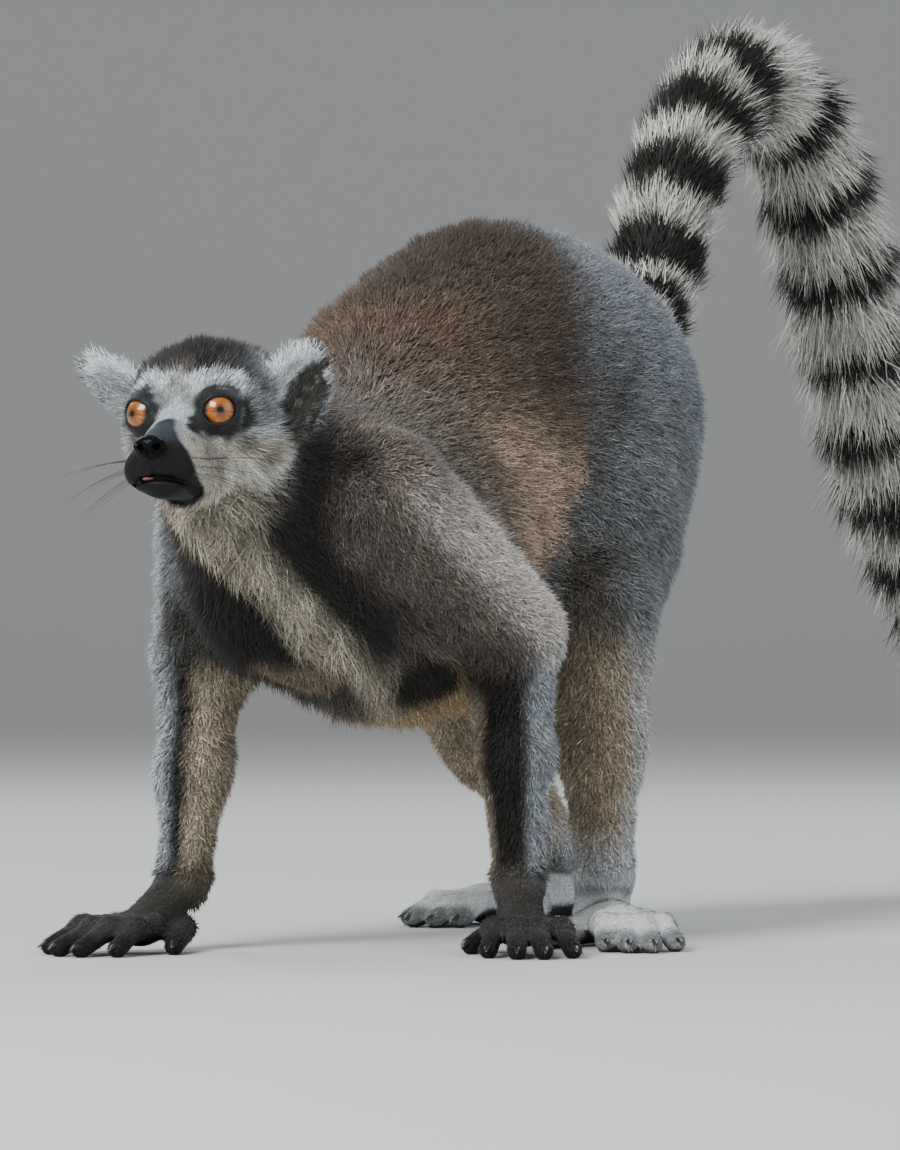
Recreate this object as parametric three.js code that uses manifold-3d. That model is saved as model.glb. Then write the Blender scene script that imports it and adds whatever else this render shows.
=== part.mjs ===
// Ring-tailed lemur standing on all fours, life size, as a still figure.
// The animal is one smooth body field (round cones and ellipsoids blended
// together), polygonised, thinned and parted with narrow cuts into the parts a
// person would name.  Lengths below are in centimetres; the output is in mm.
// X = the animal's left, -Y = forward, Z = up, soles at Z = 0.
import * as THREE from 'three';
import * as BufferGeometryUtils from 'three/addons/utils/BufferGeometryUtils.js';
import Module from 'manifold-3d';

// ---------------------------------------------------------------- sizes
const MM = 10;              // centimetres to millimetres
const GAP = 0.03;           // width of the parting cuts
const EYE_R = 0.80;         // eyeball radius
const EYE = [1.32, 2.52, -0.78]; // eyeball centre in the head: left, forward, up
const EYE_OUT = 27;         // degrees each eye looks outward
const HEAD_YAW = 14.2;      // degrees the head is turned to the left
const HEAD_ROLL = 2;        // degrees its left side is raised
const HAND = { palm: 2.6, finger: 3.4, thick: 0.95 };
const FOOT = { sole: 4.8, toe: 3.6, thick: 1.0 };

// joints
const J = {
  shoulderL: [4.0, -2.6, 17.2], elbowL: [5.6, 4.0, 12.0], wristL: [5.5, 4.6, 2.6],
  shoulderR: [-3.7, -1.8, 16.4], elbowR: [-5.2, -0.8, 11.0], wristR: [-5.3, -2.0, 2.6],
  hipL: [2.8, 14.9, 19.4], kneeL: [5.9, 9.6, 13.0], ankleL: [5.0, 11.8, 2.6],
  hipR: [-2.8, 15.3, 19.4], kneeR: [-5.0, 13.6, 12.0], ankleR: [-4.6, 24.2, 3.0],
  head: [0.5, -9.0, 20.8],
};

const wasm = await Module();
wasm.setup();

// ---------------------------------------------------------------- vectors
const v3 = (a) => new THREE.Vector3(a[0], a[1], a[2]);
const arr = (v) => [v.x, v.y, v.z];
const rad = THREE.MathUtils.degToRad;
const mix = (a, b, t) => a.map((x, i) => x * (1 - t) + b[i] * t);
const unit = (a) => arr(v3(a).normalize());
const headF = [Math.sin(rad(HEAD_YAW)), -Math.cos(rad(HEAD_YAW)), 0];
const [cr, sr] = [Math.cos(rad(HEAD_ROLL)), Math.sin(rad(HEAD_ROLL))];
const flatL = [Math.cos(rad(HEAD_YAW)), Math.sin(rad(HEAD_YAW)), 0];
const headL = [flatL[0] * cr, flatL[1] * cr, sr];
const headU = [-flatL[0] * sr, -flatL[1] * sr, cr];
const headAxes = [headL, headF, headU];
// direction and point of the head from (left, forward, up), between the ears
const hd = (x, f, z) => [0, 1, 2].map((i) => headL[i] * x + headF[i] * f + headU[i] * z);
const hp = (x, f, z) => hd(x, f, z).map((t, i) => t + J.head[i]);

// ---------------------------------------------------------------- field
const smin = (a, b, k) => { const h = Math.max(k - Math.abs(a - b), 0) / k; return Math.min(a, b) - h * h * k * 0.25; };
function cone(a, b, ra, rb, n = null, s = 1) {
  let ba = [b[0] - a[0], b[1] - a[1], b[2] - a[2]], kn = 0;
  if (n) { n = unit(n); kn = 1 / s - 1; const t = (ba[0] * n[0] + ba[1] * n[1] + ba[2] * n[2]) * kn; ba = ba.map((x, i) => x + n[i] * t); }
  const l2 = ba[0] ** 2 + ba[1] ** 2 + ba[2] ** 2, rr = ra - rb, a2 = l2 - rr * rr, il2 = 1 / l2;
  const c = [(a[0] + b[0]) / 2, (a[1] + b[1]) / 2, (a[2] + b[2]) / 2];
  const R = Math.hypot(b[0] - a[0], b[1] - a[1], b[2] - a[2]) / 2 + Math.max(ra, rb);
  const out = n ? 0.5 + 0.5 * s : 1;
  return { c, R, d(x, y, z) {
    let px = x - a[0], py = y - a[1], pz = z - a[2];
    if (n) { const t = (px * n[0] + py * n[1] + pz * n[2]) * kn; px += n[0] * t; py += n[1] * t; pz += n[2] * t; }
    const yy = px * ba[0] + py * ba[1] + pz * ba[2], zz = yy - l2;
    const ux = px * l2 - ba[0] * yy, uy = py * l2 - ba[1] * yy, uz = pz * l2 - ba[2] * yy;
    const x2 = ux * ux + uy * uy + uz * uz, y2 = yy * yy * l2, z2 = zz * zz * l2;
    const k = Math.sign(rr) * rr * rr * x2;
    let r;
    if (Math.sign(zz) * a2 * z2 > k) r = Math.sqrt(x2 + z2) * il2 - rb;
    else if (Math.sign(yy) * a2 * y2 < k) r = Math.sqrt(x2 + y2) * il2 - ra;
    else r = (Math.sqrt(x2 * a2 * il2) + yy * rr) * il2 - ra;
    return r * out;
  } };
}
// ellipsoid; axes = three unit vectors of its frame
function ell(c, r, axes = [[1, 0, 0], [0, 1, 0], [0, 0, 1]]) {
  const [A, B, C] = axes;
  return { c, R: Math.max(...r), d(x, y, z) {
    const qx = x - c[0], qy = y - c[1], qz = z - c[2];
    const a = (qx * A[0] + qy * A[1] + qz * A[2]) / r[0], b = (qx * B[0] + qy * B[1] + qz * B[2]) / r[1], e = (qx * C[0] + qy * C[1] + qz * C[2]) / r[2];
    const k0 = Math.hypot(a, b, e), k1 = Math.hypot(a / r[0], b / r[1], e / r[2]);
    return k0 * (k0 - 1) / Math.max(k1, 1e-6);
  } };
}
const X = [1, 0, 0];
const groups = [];
const group = (name, k, kb, prims) => groups.push({ name, k, kb, prims });

// ---------------------------------------------------------------- body
group('trunk', 2.6, 0, [
  cone([0, 0.9, 17.3], [0, 6.2, 19.7], 3.3, 5.5, X, 0.90),
  cone([0, 6.2, 19.7], [0, 11.5, 21.1], 5.5, 6.35, X, 0.84),
  cone([0, 11.5, 21.1], [0, 16.0, 20.7], 6.35, 6.0, X, 0.82),
  cone([0, 16.0, 20.7], [0, 19.1, 20.7], 6.0, 4.2, X, 0.82),
  cone([0, -0.6, 14.4], [0, 4.5, 14.9], 4.7, 5.7, X, 0.90),
  cone([0, 4.5, 14.9], [0, 13.0, 17.8], 5.7, 5.4, X, 0.86),
]);
group('neck', 1.6, 1.8, [
  cone([0, 0.3, 17.4], [0.3, -7.0, 19.6], 3.5, 2.7),
  cone([-0.1, -2.6, 14.6], [0, -7.6, 17.8], 3.7, 2.3),
]);
const hcone = (a, b, ra, rb, n, s) => cone(hp(...a), hp(...b), ra, rb, n && hd(...n), s);
const hell = (c, r, axes) => ell(hp(...c), r, axes ? axes.map((t) => hd(...t)) : headAxes);
const skull = [
  hell([0, -0.35, -0.40], [2.85, 3.1, 2.30]),          // braincase
  hell([0, 0.80, -0.85], [2.80, 2.25, 1.80]),          // face round the eyes
  hcone([0, 2.0, -1.65], [0, 5.35, -2.25], 1.40, 0.72), // bridge of the muzzle
  hcone([0, 1.4, -2.7], [0, 4.85, -3.30], 1.2, 0.60),   // lower jaw
  hell([-0.05, 5.95, -2.05], [0.56, 0.38, 0.40]),           // nose pad
];
for (const s of [1, -1]) {
  skull.push(hell([s * 1.5, 0.2, -1.9], [1.35, 1.7, 1.40]));                      // cheek
  skull.push(hcone([s * 0.35, 2.6, -2.6], [s > 0 ? 0.52 : -0.70, 4.85, -2.85], 1.0, 0.75));   // upper lip
}
group('head', 0.7, 0.9, skull);
// ear: a flattened cup standing out from the side of the head
const EAR = {
  L: { c: [3.25, -0.3, -0.15], u: [0.40, 0.06, 0.91], r: [1.95, 1.30, 0.45], root: -0.4 },
  R: { c: [-3.30, -0.35, 0.25], u: [-0.78, 0.05, 0.62], r: [1.80, 1.05, 0.42], root: -0.1 },
};
for (const [k, s] of [['L', 1], ['R', -1]]) {
  const e = EAR[k], u = v3(e.u).normalize(), n = v3([s * 0.48, 0.88, 0]).normalize();
  n.addScaledVector(u, -n.dot(u)).normalize();
  const w = new THREE.Vector3().crossVectors(u, n);
  group('ear' + k, 0.4, 0.5, [hell(e.c, e.r, [arr(u), arr(w), arr(n)]), hcone([s * 2.0, -0.5, -0.7], [s * 2.9, -0.4, e.root], 1.1, 0.8)]);
}
const EAR_CUP = { out: 0.5, down: -0.05, share: [0.70, 0.62, 0.95] };        // the hollow in the front of the ear
const MOUTH = { line: [[0, 5.7, -3.16, 0.15], [0.5, 5.6, -3.2, 0.14], [0.98, 5.25, -3.3, 0.14], [1.16, 4.5, -3.42, 0.13], [1.12, 3.8, -3.52, 0.11]] };
const arm = (sh, el, wr) => [cone(sh, el, 2.6, 1.95), cone(el, mix(el, wr, 0.5), 1.75, 1.4), cone(mix(el, wr, 0.5), wr, 1.4, 1.0)];
group('armL', 1.0, 2.0, arm(J.shoulderL, J.elbowL, J.wristL));
group('armR', 1.0, 2.0, arm(J.shoulderR, J.elbowR, J.wristR));
const leg = (hip, kn, an, ham) => {
  const t = mix(hip, kn, 0.5), m = mix(kn, an, 0.5);
  return [cone(hip, t, 4.4, 3.6, X, 0.74), cone(t, kn, 3.6, 2.3, X, 0.85),
    cone(ham, mix(kn, an, 0.2), 2.8, 1.9, X, 0.8), cone(kn, m, 2.1, 1.65), cone(m, an, 1.65, 1.15)];
};
group('legL', 1.5, 2.5, leg(J.hipL, J.kneeL, J.ankleL, [3.4, 15.1, 16.2]));
group('legR', 1.5, 2.5, leg(J.hipR, J.kneeR, J.ankleR, [-3.4, 16.6, 16.2]));
// five-fingered hand lying flat, pointing `deg` outward of straight ahead
const UP = [0, 0, 1];
const planar = (w, deg, s) => {
  const a = rad(deg) * s, f = [Math.sin(a), -Math.cos(a)], l = [Math.cos(a), Math.sin(a)];
  return (x, y, z) => [w[0] + l[0] * x * s + f[0] * y, w[1] + l[1] * x * s + f[1] * y, z];
};
function hand(w, deg, s) {
  const P = planar(w, deg, s), out = [cone(w, P(0, HAND.palm - 0.2, HAND.thick), 1.0, 0.95, UP, 0.8)];
  for (const [x0, x1, y1] of [[1.05, 1.75, 5.4], [0.4, 0.65, 6.1], [-0.25, -0.35, 6.0], [-0.85, -1.35, 5.1]]) {
    const k0 = P(x0, HAND.palm, 1.0), k1 = P((x0 + x1) / 2, (HAND.palm + y1) / 2, 1.05), k2 = P(x1, y1, 0.33);
    out.push(cone(k0, k1, 0.55, 0.45), cone(k1, k2, 0.45, 0.38));
  }
  out.push(cone(P(-0.6, 0.7, 0.9), P(-1.9, 2.6, 0.36), 0.6, 0.40));
  return out;
}
function foot(w, deg, s) {
  const P = planar(w, deg, s);
  const out = [cone(P(0, -1.0, 1.1), w, 1.15, 1.2), cone(P(0, -1.0, 1.0), P(0, 4.6, 0.85), 1.1, 1.15, UP, 0.8)];
  for (const [x0, x1, y1] of [[1.05, 1.7, 7.6], [0.45, 0.7, 8.6], [-0.15, -0.2, 8.4], [-0.7, -0.95, 7.7]]) {
    const k0 = P(x0, FOOT.sole, 0.9), k1 = P((x0 + x1) / 2, (FOOT.sole + y1) / 2, 0.95), k2 = P(x1, y1, 0.36);
    out.push(cone(k0, k1, 0.6, 0.48), cone(k1, k2, 0.48, 0.42));
  }
  out.push(cone(P(-0.8, 2.6, 0.8), P(-2.5, 5.0, 0.45), 0.75, 0.52));
  return out;
}
group('handL', 0.4, 0.6, hand(J.wristL, 34, 1));
group('handR', 0.4, 0.6, hand(J.wristR, 8, -1));
group('footL', 0.4, 0.6, foot(J.ankleL, 38, 1));
group('footR', 0.4, 0.6, foot(J.ankleR, 6, -1));
// tail: a curve in the middle plane, arched up over the rump and out behind
const tailCurve = new THREE.CatmullRomCurve3([
  [20.8, 22.8], [23.6, 25.0], [24.9, 28.3], [27.0, 31.8], [30.8, 34.6], [35.2, 33.6], [38.4, 29.8],
  [40.8, 25.4], [43.2, 21.2], [46.0, 17.2], [49.6, 13.6], [54.0, 10.6], [58.0, 8.6],
].map(([y, z]) => new THREE.Vector3(0, y, z)), false, 'catmullrom', 0.5);
const tailR = (t) => 1.75 + 0.95 * Math.pow(Math.sin(Math.min(t, 0.8) / 0.8 * Math.PI / 2), 0.8) - (t > 0.8 ? 1.2 * ((t - 0.8) / 0.2) ** 2 : 0);
{
  const N = 26, ps = tailCurve.getSpacedPoints(N).map(arr), prims = [];
  for (let i = 0; i < N; i++) prims.push(cone(ps[i], ps[i + 1], tailR(i / N), tailR((i + 1) / N)));
  group('tail', 0.3, 1.2, prims);
}

// field of everything near a ball (c, R), with the ear cups and the mouth cut in
const dents = [];
for (const [k, s] of [['L', 1], ['R', -1]]) {
  const e = EAR[k], u = v3(e.u).normalize(), n = v3([s * 0.48, 0.88, 0]).normalize();
  n.addScaledVector(u, -n.dot(u)).normalize();
  const w = new THREE.Vector3().crossVectors(u, n);
  const c = v3(e.c).addScaledVector(n, EAR_CUP.out).addScaledVector(u, -EAR_CUP.down);
  dents.push({ k: 0.14, pr: hell(arr(c), e.r.map((r, i) => r * EAR_CUP.share[i]), [arr(u), arr(w), arr(n)]) });
  const line = MOUTH.line.map(([x, f, z, r]) => [[s * x, f, z], r]);
  for (let i = 0; i + 1 < line.length; i++) dents.push({ k: 0.12, pr: hcone(line[i][0], line[i + 1][0], line[i][1], line[i + 1][1]) });
}
function fieldNear(c, R) {
  const within = (p, m) => Math.hypot(p.c[0] - c[0], p.c[1] - c[1], p.c[2] - c[2]) < p.R + R + m;
  const near = groups.map((g) => ({ ...g, prims: g.prims.filter((p) => within(p, 3.5)) })).filter((g) => g.prims.length);
  const cut = dents.filter((t) => within(t.pr, 0.5));
  return (x, y, z) => {
    let res = null;
    for (const g of near) {
      let v = null;
      for (const p of g.prims) { const d = p.d(x, y, z); v = v === null ? d : smin(v, d, g.k); }
      res = res === null ? v : smin(res, v, g.kb || 1);
    }
    for (const t of cut) res = -smin(-res, t.pr.d(x, y, z), t.k);
    return Math.max(res, -z);
  };
}

// ---------------------------------------------------------------- cutters
// oriented boxes; dir = box X axis (away from the parent part), side = hint for Y
function cutter(p, dir, side, ext) {
  const x = v3(dir).normalize(), y = v3(side); y.addScaledVector(x, -y.dot(x)).normalize();
  const z = new THREE.Vector3().crossVectors(x, y);
  const [x0, x1, y0, y1, z0, z1] = ext;
  const mid = v3(p).addScaledVector(x, (x0 + x1) / 2).addScaledVector(y, (y0 + y1) / 2).addScaledVector(z, (z0 + z1) / 2);
  return { mid, x, y, z, half: [(x1 - x0) / 2, (y1 - y0) / 2, (z1 - z0) / 2] };
}
const boxField = (c, grow) => (x, y, z) => {
  const qx = x - c.mid.x, qy = y - c.mid.y, qz = z - c.mid.z;
  return Math.max(Math.abs(qx * c.x.x + qy * c.x.y + qz * c.x.z) - c.half[0] - grow,
    Math.abs(qx * c.y.x + qy * c.y.y + qz * c.y.z) - c.half[1] - grow,
    Math.abs(qx * c.z.x + qy * c.z.y + qz * c.z.z) - c.half[2] - grow);
};
const sub = (a, b) => a.map((t, i) => t - b[i]);
const limb = (p, to, w, len, side = X) => cutter(p, sub(to, p), side, [0, len, -w, w, -w, w]);
const cuts = {};
cuts.neck = cutter([0, -3.6, 17.3], [0, -0.90, 0.43], X, [0, 16, -6.5, 6.5, -5.4, 5.4]);
cuts.head = cutter(hp(0, -1.9, -1.2), hd(0, 0.95, -0.12), hd(1, 0, 0), [0, 12, -6, 6, -5, 5]);
for (const [k, s] of [['L', 1], ['R', -1]]) {
  const sh = J['shoulder' + k], el = J['elbow' + k], wr = J['wrist' + k];
  cuts['ear' + k] = cutter(hp(s * 2.55, 0.25, -0.3), hd(s, 0.15, 0.18), hd(0, 1, 0), [0, 4, -2.6, 2.6, -3.2, 3.2]);
  const p = mix(sh, el, 0.22), d = sub(el, sh);
  const out = [s, 0, 0];
  cuts['upper' + k] = cutter(p, d, out, [0, 8.6, -1.5, 4, -3.2, 3.2]);
  cuts['fore' + k] = limb(mix(el, wr, 0.06), wr, 2.7, 13);
  cuts['hand' + k] = cutter(mix(el, wr, 0.9), [0, 0, -1], [0, 1, 0], [0, 4, -9, 4, -5, 5]);
  const hip = J['hip' + k], kn = J['knee' + k], an = J['ankle' + k];
  cuts['thigh' + k] = cutter([s * 1.7, (hip[1] + kn[1]) / 2 + 0.6, 16.2], [s * 0.97, 0, -0.22], sub(kn, hip), [0, 9, -6.6, 6.6, -5.4, 5.4]);
  cuts['shank' + k] = limb(mix(kn, an, 0.12), an, 2.8, 15);
  cuts['foot' + k] = cutter(mix(kn, an, 0.9), [0, 0, -1], [0, 1, 0], [0, 4.5, -11, 3.2, -5, 5]);
}
const tp = (t) => arr(tailCurve.getPointAt(t)), td = (t) => arr(tailCurve.getTangentAt(t));
cuts.tail0 = cutter(tp(0.045), td(0.045), X, [0, 70, -6, 6, -60, 60]);
const TAIL_CUTS = [0.27, 0.52, 0.76];
TAIL_CUTS.forEach((t, i) => { cuts['tail' + (i + 1)] = cutter(tp(t), td(t), X, [0, i === 0 ? 60 : 34, -6, 6, i === 0 ? -60 : -14, i === 0 ? 60 : 14]); });

// ---------------------------------------------------------------- polygonise
function surfaceNets(f, lo, hi, h) {
  const n = [0, 1, 2].map((i) => Math.ceil((hi[i] - lo[i]) / h) + 2), [nx, ny, nz] = n;
  const o = lo.map((x) => x - h * 0.5);
  const val = new Float32Array(nx * ny * nz), id = (i, j, k) => (i * ny + j) * nz + k;
  for (let i = 0; i < nx; i++) for (let j = 0; j < ny; j++) for (let k = 0; k < nz; k++) val[id(i, j, k)] = f(o[0] + i * h, o[1] + j * h, o[2] + k * h);
  const cell = new Int32Array(nx * ny * nz).fill(-1), P = [], T = [];
  for (let i = 0; i < nx - 1; i++) for (let j = 0; j < ny - 1; j++) for (let k = 0; k < nz - 1; k++) {
    let s = [0, 0, 0], c = 0;
    for (let a = 0; a < 3; a++) for (let q = 0; q < 4; q++) {
      const e = [0, 0, 0], b = (a + 1) % 3, d = (a + 2) % 3;
      e[b] = q & 1; e[d] = q >> 1;
      const v0 = val[id(i + e[0], j + e[1], k + e[2])];
      e[a] = 1;
      const v1 = val[id(i + e[0], j + e[1], k + e[2])];
      if ((v0 < 0) !== (v1 < 0)) { e[a] = v0 / (v0 - v1); s[0] += e[0]; s[1] += e[1]; s[2] += e[2]; c++; }
    }
    if (c) { cell[id(i, j, k)] = P.length; P.push([o[0] + (i + s[0] / c) * h, o[1] + (j + s[1] / c) * h, o[2] + (k + s[2] / c) * h]); }
  }
  for (let i = 1; i < nx - 1; i++) for (let j = 1; j < ny - 1; j++) for (let k = 1; k < nz - 1; k++) {
    const v0 = val[id(i, j, k)];
    for (let a = 0; a < 3; a++) {
      const e = [i, j, k]; e[a]++;
      const v1 = val[id(...e)];
      if ((v0 < 0) === (v1 < 0)) continue;
      const b = (a + 1) % 3, d = (a + 2) % 3, g = (db, dd) => { const t = [i, j, k]; t[b] -= db; t[d] -= dd; return cell[id(...t)]; };
      let q = [g(0, 0), g(1, 0), g(1, 1), g(0, 1)];
      if (v0 >= 0) q = q.reverse();
      const d02 = Math.hypot(...sub(P[q[0]], P[q[2]])), d13 = Math.hypot(...sub(P[q[1]], P[q[3]]));
      if (d02 <= d13) T.push([q[0], q[1], q[2]], [q[0], q[2], q[3]]); else T.push([q[0], q[1], q[3]], [q[1], q[2], q[3]]);
    }
  }
  return { P, T };
}

// edges not shared by exactly two triangles
function openEdges({ T }) {
  const E = new Map();
  for (const t of T) for (let k = 0; k < 3; k++) { const a = t[k], b = t[(k + 1) % 3], key = Math.min(a, b) * 1e6 + Math.max(a, b); E.set(key, (E.get(key) || 0) + 1); }
  let bad = 0;
  for (const c of E.values()) if (c !== 2) bad++;
  return bad;
}
// polygonise with the cell nudged until every edge joins two faces
function cleanNets(f, lo, hi, h) {
  let best = null, least = Infinity;
  for (let k = 0; k < 7 && least > 0; k++) {
    const m = surfaceNets(f, lo, hi, h * (1 - 0.035 * k)), bad = openEdges(m);
    if (bad < least) { least = bad; best = m; }
  }
  return best;
}

// ---------------------------------------------------------------- thinning
// edge collapse by quadric error; keeps the surface closed and unflipped
function thin({ P, T }, target) {
  const V = P.map((p) => p.slice()), F = T.map((t) => t.slice()), alive = new Uint8Array(F.length).fill(1);
  const Q = V.map(() => new Float64Array(10)), VF = V.map(() => new Set()), ver = new Int32Array(V.length);
  const cr = (a, b, c) => { const u = sub(b, a), w = sub(c, a); return [u[1] * w[2] - u[2] * w[1], u[2] * w[0] - u[0] * w[2], u[0] * w[1] - u[1] * w[0]]; };
  F.forEach((t, i) => {
    const n = cr(V[t[0]], V[t[1]], V[t[2]]), l = Math.hypot(...n) || 1e-12, [a, b, c] = n.map((x) => x / l);
    const d = -(a * V[t[0]][0] + b * V[t[0]][1] + c * V[t[0]][2]), w = l * 0.5;
    const q = [a * a, a * b, a * c, a * d, b * b, b * c, b * d, c * c, c * d, d * d];
    t.forEach((v) => { VF[v].add(i); for (let k = 0; k < 10; k++) Q[v][k] += q[k] * w; });
  });
  const err = (q, p) => q[0] * p[0] * p[0] + 2 * q[1] * p[0] * p[1] + 2 * q[2] * p[0] * p[2] + 2 * q[3] * p[0] + q[4] * p[1] * p[1] + 2 * q[5] * p[1] * p[2] + 2 * q[6] * p[1] + q[7] * p[2] * p[2] + 2 * q[8] * p[2] + q[9];
  const place = (u, v) => {
    const q = Q[u].map((x, i) => x + Q[v][i]), m = mix(V[u], V[v], 0.5);
    const M = new THREE.Matrix3().set(q[0], q[1], q[2], q[1], q[4], q[5], q[2], q[5], q[7]), L = Math.hypot(...sub(V[u], V[v]));
    const e = 1e-3 * (q[0] + q[4] + q[7]) + 1e-12; M.elements[0] += e; M.elements[4] += e; M.elements[8] += e;
    const r = new THREE.Vector3(-q[3] + e * m[0], -q[6] + e * m[1], -q[8] + e * m[2]).applyMatrix3(M.invert());
    let best = arr(r);
    if (!best.every(Number.isFinite) || Math.hypot(...sub(best, m)) > L) best = m;
    return [best, Math.max(err(q, best), 0) + 1e-7 * L * L];
  };
  const heap = [];
  const up = (i) => { while (i > 0) { const p = (i - 1) >> 1; if (heap[p][0] <= heap[i][0]) break; [heap[p], heap[i]] = [heap[i], heap[p]]; i = p; } };
  const down = (i) => { for (;;) { let m = i; const l = 2 * i + 1, r = l + 1; if (l < heap.length && heap[l][0] < heap[m][0]) m = l; if (r < heap.length && heap[r][0] < heap[m][0]) m = r; if (m === i) break; [heap[m], heap[i]] = [heap[i], heap[m]]; i = m; } };
  const push = (u, v) => { const [p, c] = place(u, v); heap.push([c, u, v, ver[u], ver[v], p]); up(heap.length - 1); };
  const pop = () => { const t = heap[0], l = heap.pop(); if (heap.length) { heap[0] = l; down(0); } return t; };
  const ring = (v) => { const s = new Set(); for (const f of VF[v]) for (const w of F[f]) if (w !== v) s.add(w); return s; };
  const seen = new Set();
  F.forEach((t) => { for (let k = 0; k < 3; k++) { const u = Math.min(t[k], t[(k + 1) % 3]), v = Math.max(t[k], t[(k + 1) % 3]), key = u * V.length + v; if (!seen.has(key)) { seen.add(key); push(u, v); } } });
  let count = F.length;
  while (count > target && heap.length) {
    const [, u, v, a, b, p] = pop();
    if (ver[u] !== a || ver[v] !== b) continue;
    const ru = ring(u), rv = ring(v); let common = 0;
    for (const w of ru) if (rv.has(w)) common++;
    if (common !== 2) continue;
    let ok = true;
    for (const [x, y] of [[u, v], [v, u]]) for (const f of VF[x]) {
      const t = F[f]; if (t.includes(y)) continue;
      const n0 = cr(V[t[0]], V[t[1]], V[t[2]]), n1 = cr(...t.map((w) => (w === x ? p : V[w])));
      const dot = n0[0] * n1[0] + n0[1] * n1[1] + n0[2] * n1[2];
      if (dot < 0.25 * Math.hypot(...n0) * Math.hypot(...n1)) { ok = false; break; }
    }
    if (!ok) continue;
    for (const f of [...VF[v]]) {
      const t = F[f];
      if (t.includes(u)) { alive[f] = 0; count--; for (const w of t) VF[w].delete(f); } else { t[t.indexOf(v)] = u; VF[u].add(f); }
    }
    VF[v].clear(); ver[v] = -1; V[u] = p; ver[u]++;
    for (let k = 0; k < 10; k++) Q[u][k] += Q[v][k];
    for (const w of ring(u)) push(u, w);
  }
  return { P: V, T: F.filter((_, i) => alive[i]) };
}

// ---------------------------------------------------------------- solids
const toGeometry = ({ P, T }) => {
  const g = new THREE.BufferGeometry(), pos = [];
  for (const t of T) for (const i of t) pos.push(...P[i]);
  g.setAttribute('position', new THREE.Float32BufferAttribute(pos, 3));
  return BufferGeometryUtils.mergeVertices(g, 1e-7);
};
const solid = (geo) => {
  let g = geo.clone(); g.deleteAttribute('normal'); g.deleteAttribute('uv'); g = BufferGeometryUtils.mergeVertices(g, 1e-6);
  return new wasm.Manifold(new wasm.Mesh({ numProp: 3, vertProperties: Float32Array.from(g.attributes.position.array), triVerts: Uint32Array.from(g.index.array) }));
};
const boxSolid = (c, grow = 0) => {
  const g = new THREE.BoxGeometry(2 * (c.half[0] + grow), 2 * (c.half[1] + grow), 2 * (c.half[2] + grow));
  g.applyMatrix4(new THREE.Matrix4().makeBasis(c.x, c.y, c.z).setPosition(c.mid));
  return solid(g);
};
// largest connected piece of a cut solid, as plain arrays
function largest(m) {
  const mesh = m.getMesh(), P = [], T = [], n = mesh.vertProperties.length / mesh.numProp;
  for (let i = 0; i < n; i++) P.push([0, 1, 2].map((k) => mesh.vertProperties[i * mesh.numProp + k]));
  for (let i = 0; i < mesh.triVerts.length; i += 3) T.push([...mesh.triVerts.slice(i, i + 3)]);
  const key = new Map(), same = P.map((p) => { const s = p.map((x) => x.toFixed(6)).join(); if (!key.has(s)) key.set(s, key.size); return key.get(s); });
  const par = [...Array(key.size).keys()], find = (a) => { while (par[a] !== a) a = par[a] = par[par[a]]; return a; };
  for (const t of T) { par[find(same[t[1]])] = find(same[t[0]]); par[find(same[t[2]])] = find(same[t[0]]); }
  const size = new Map(); for (const t of T) { const r = find(same[t[0]]); size.set(r, (size.get(r) || 0) + 1); }
  const best = [...size.entries()].sort((a, b) => b[1] - a[1])[0][0];
  return { P, T: T.filter((t) => find(same[t[0]]) === best) };
}

// name, own cutter, cutters of the parts beyond it, region, cell, triangles
const R = (lo, hi) => ({ lo, hi });
const handBox = (w) => R([w[0] - 7, w[1] - 8, -0.3], [w[0] + 7, w[1] + 3, 5]);
const footBox = (w) => R([w[0] - 8, w[1] - 11, -0.3], [w[0] + 8, w[1] + 4, 6]);
const span = (a, b, r) => R([0, 1, 2].map((i) => Math.min(a[i], b[i]) - r), [0, 1, 2].map((i) => Math.max(a[i], b[i]) + r));
const LIMBS = ['L', 'R'];
const parts = [
  ['head', 'head', ['earL', 'earR'], span(hp(-4, -3, -4), hp(4, 7.2, 3), 0.6), 0.2, 1400, 'face_fur'],
  ['neck', 'neck', ['head', 'earL', 'earR', 'upperL', 'upperR'], R([-6, -12.5, 11], [6, -1, 25]), 0.42, 300, 'neck_fur'],
  ['trunk', null, ['neck', 'head', 'earL', 'earR', 'tail0', ...LIMBS.flatMap((k) => ['upper' + k, 'fore' + k, 'thigh' + k, 'shank' + k])], R([-7.5, -7, 6], [7.5, 26, 30]), 0.5, 1000, 'body_fur'],
];
for (const [k, word] of [['L', 'left'], ['R', 'right']]) {
  const sh = J['shoulder' + k], el = J['elbow' + k], wr = J['wrist' + k], hip = J['hip' + k], kn = J['knee' + k], an = J['ankle' + k];
  const s = k === 'L' ? 1 : -1;
  parts.push(
    ['ear_' + word, 'ear' + k, [], span(hp(s * 2.2, -1.5, -2.6), hp(s * 5, 2.2, 2.2), 0.8), 0.13, 260, 'face_fur'],
    ['upper_arm_' + word, 'upper' + k, ['fore' + k, 'neck'], span(sh, el, 3.6), 0.32, 240, 'limb_fur'],
    ['forearm_' + word, 'fore' + k, ['hand' + k], span(el, wr, 2.6), 0.28, 190, 'limb_fur'],
    ['hand_' + word, 'hand' + k, [], handBox(wr), 0.12, 470, 'hand_skin'],
    ['thigh_' + word, 'thigh' + k, ['shank' + k, 'fore' + k, 'upper' + k], span(hip, kn, 5.6), 0.42, 340, 'limb_fur'],
    ['shank_' + word, 'shank' + k, ['foot' + k], span(kn, an, 2.9), 0.30, 200, 'limb_fur'],
    ['foot_' + word, 'foot' + k, [], footBox(an), 0.13, 470, 'foot_fur']);
}
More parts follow.
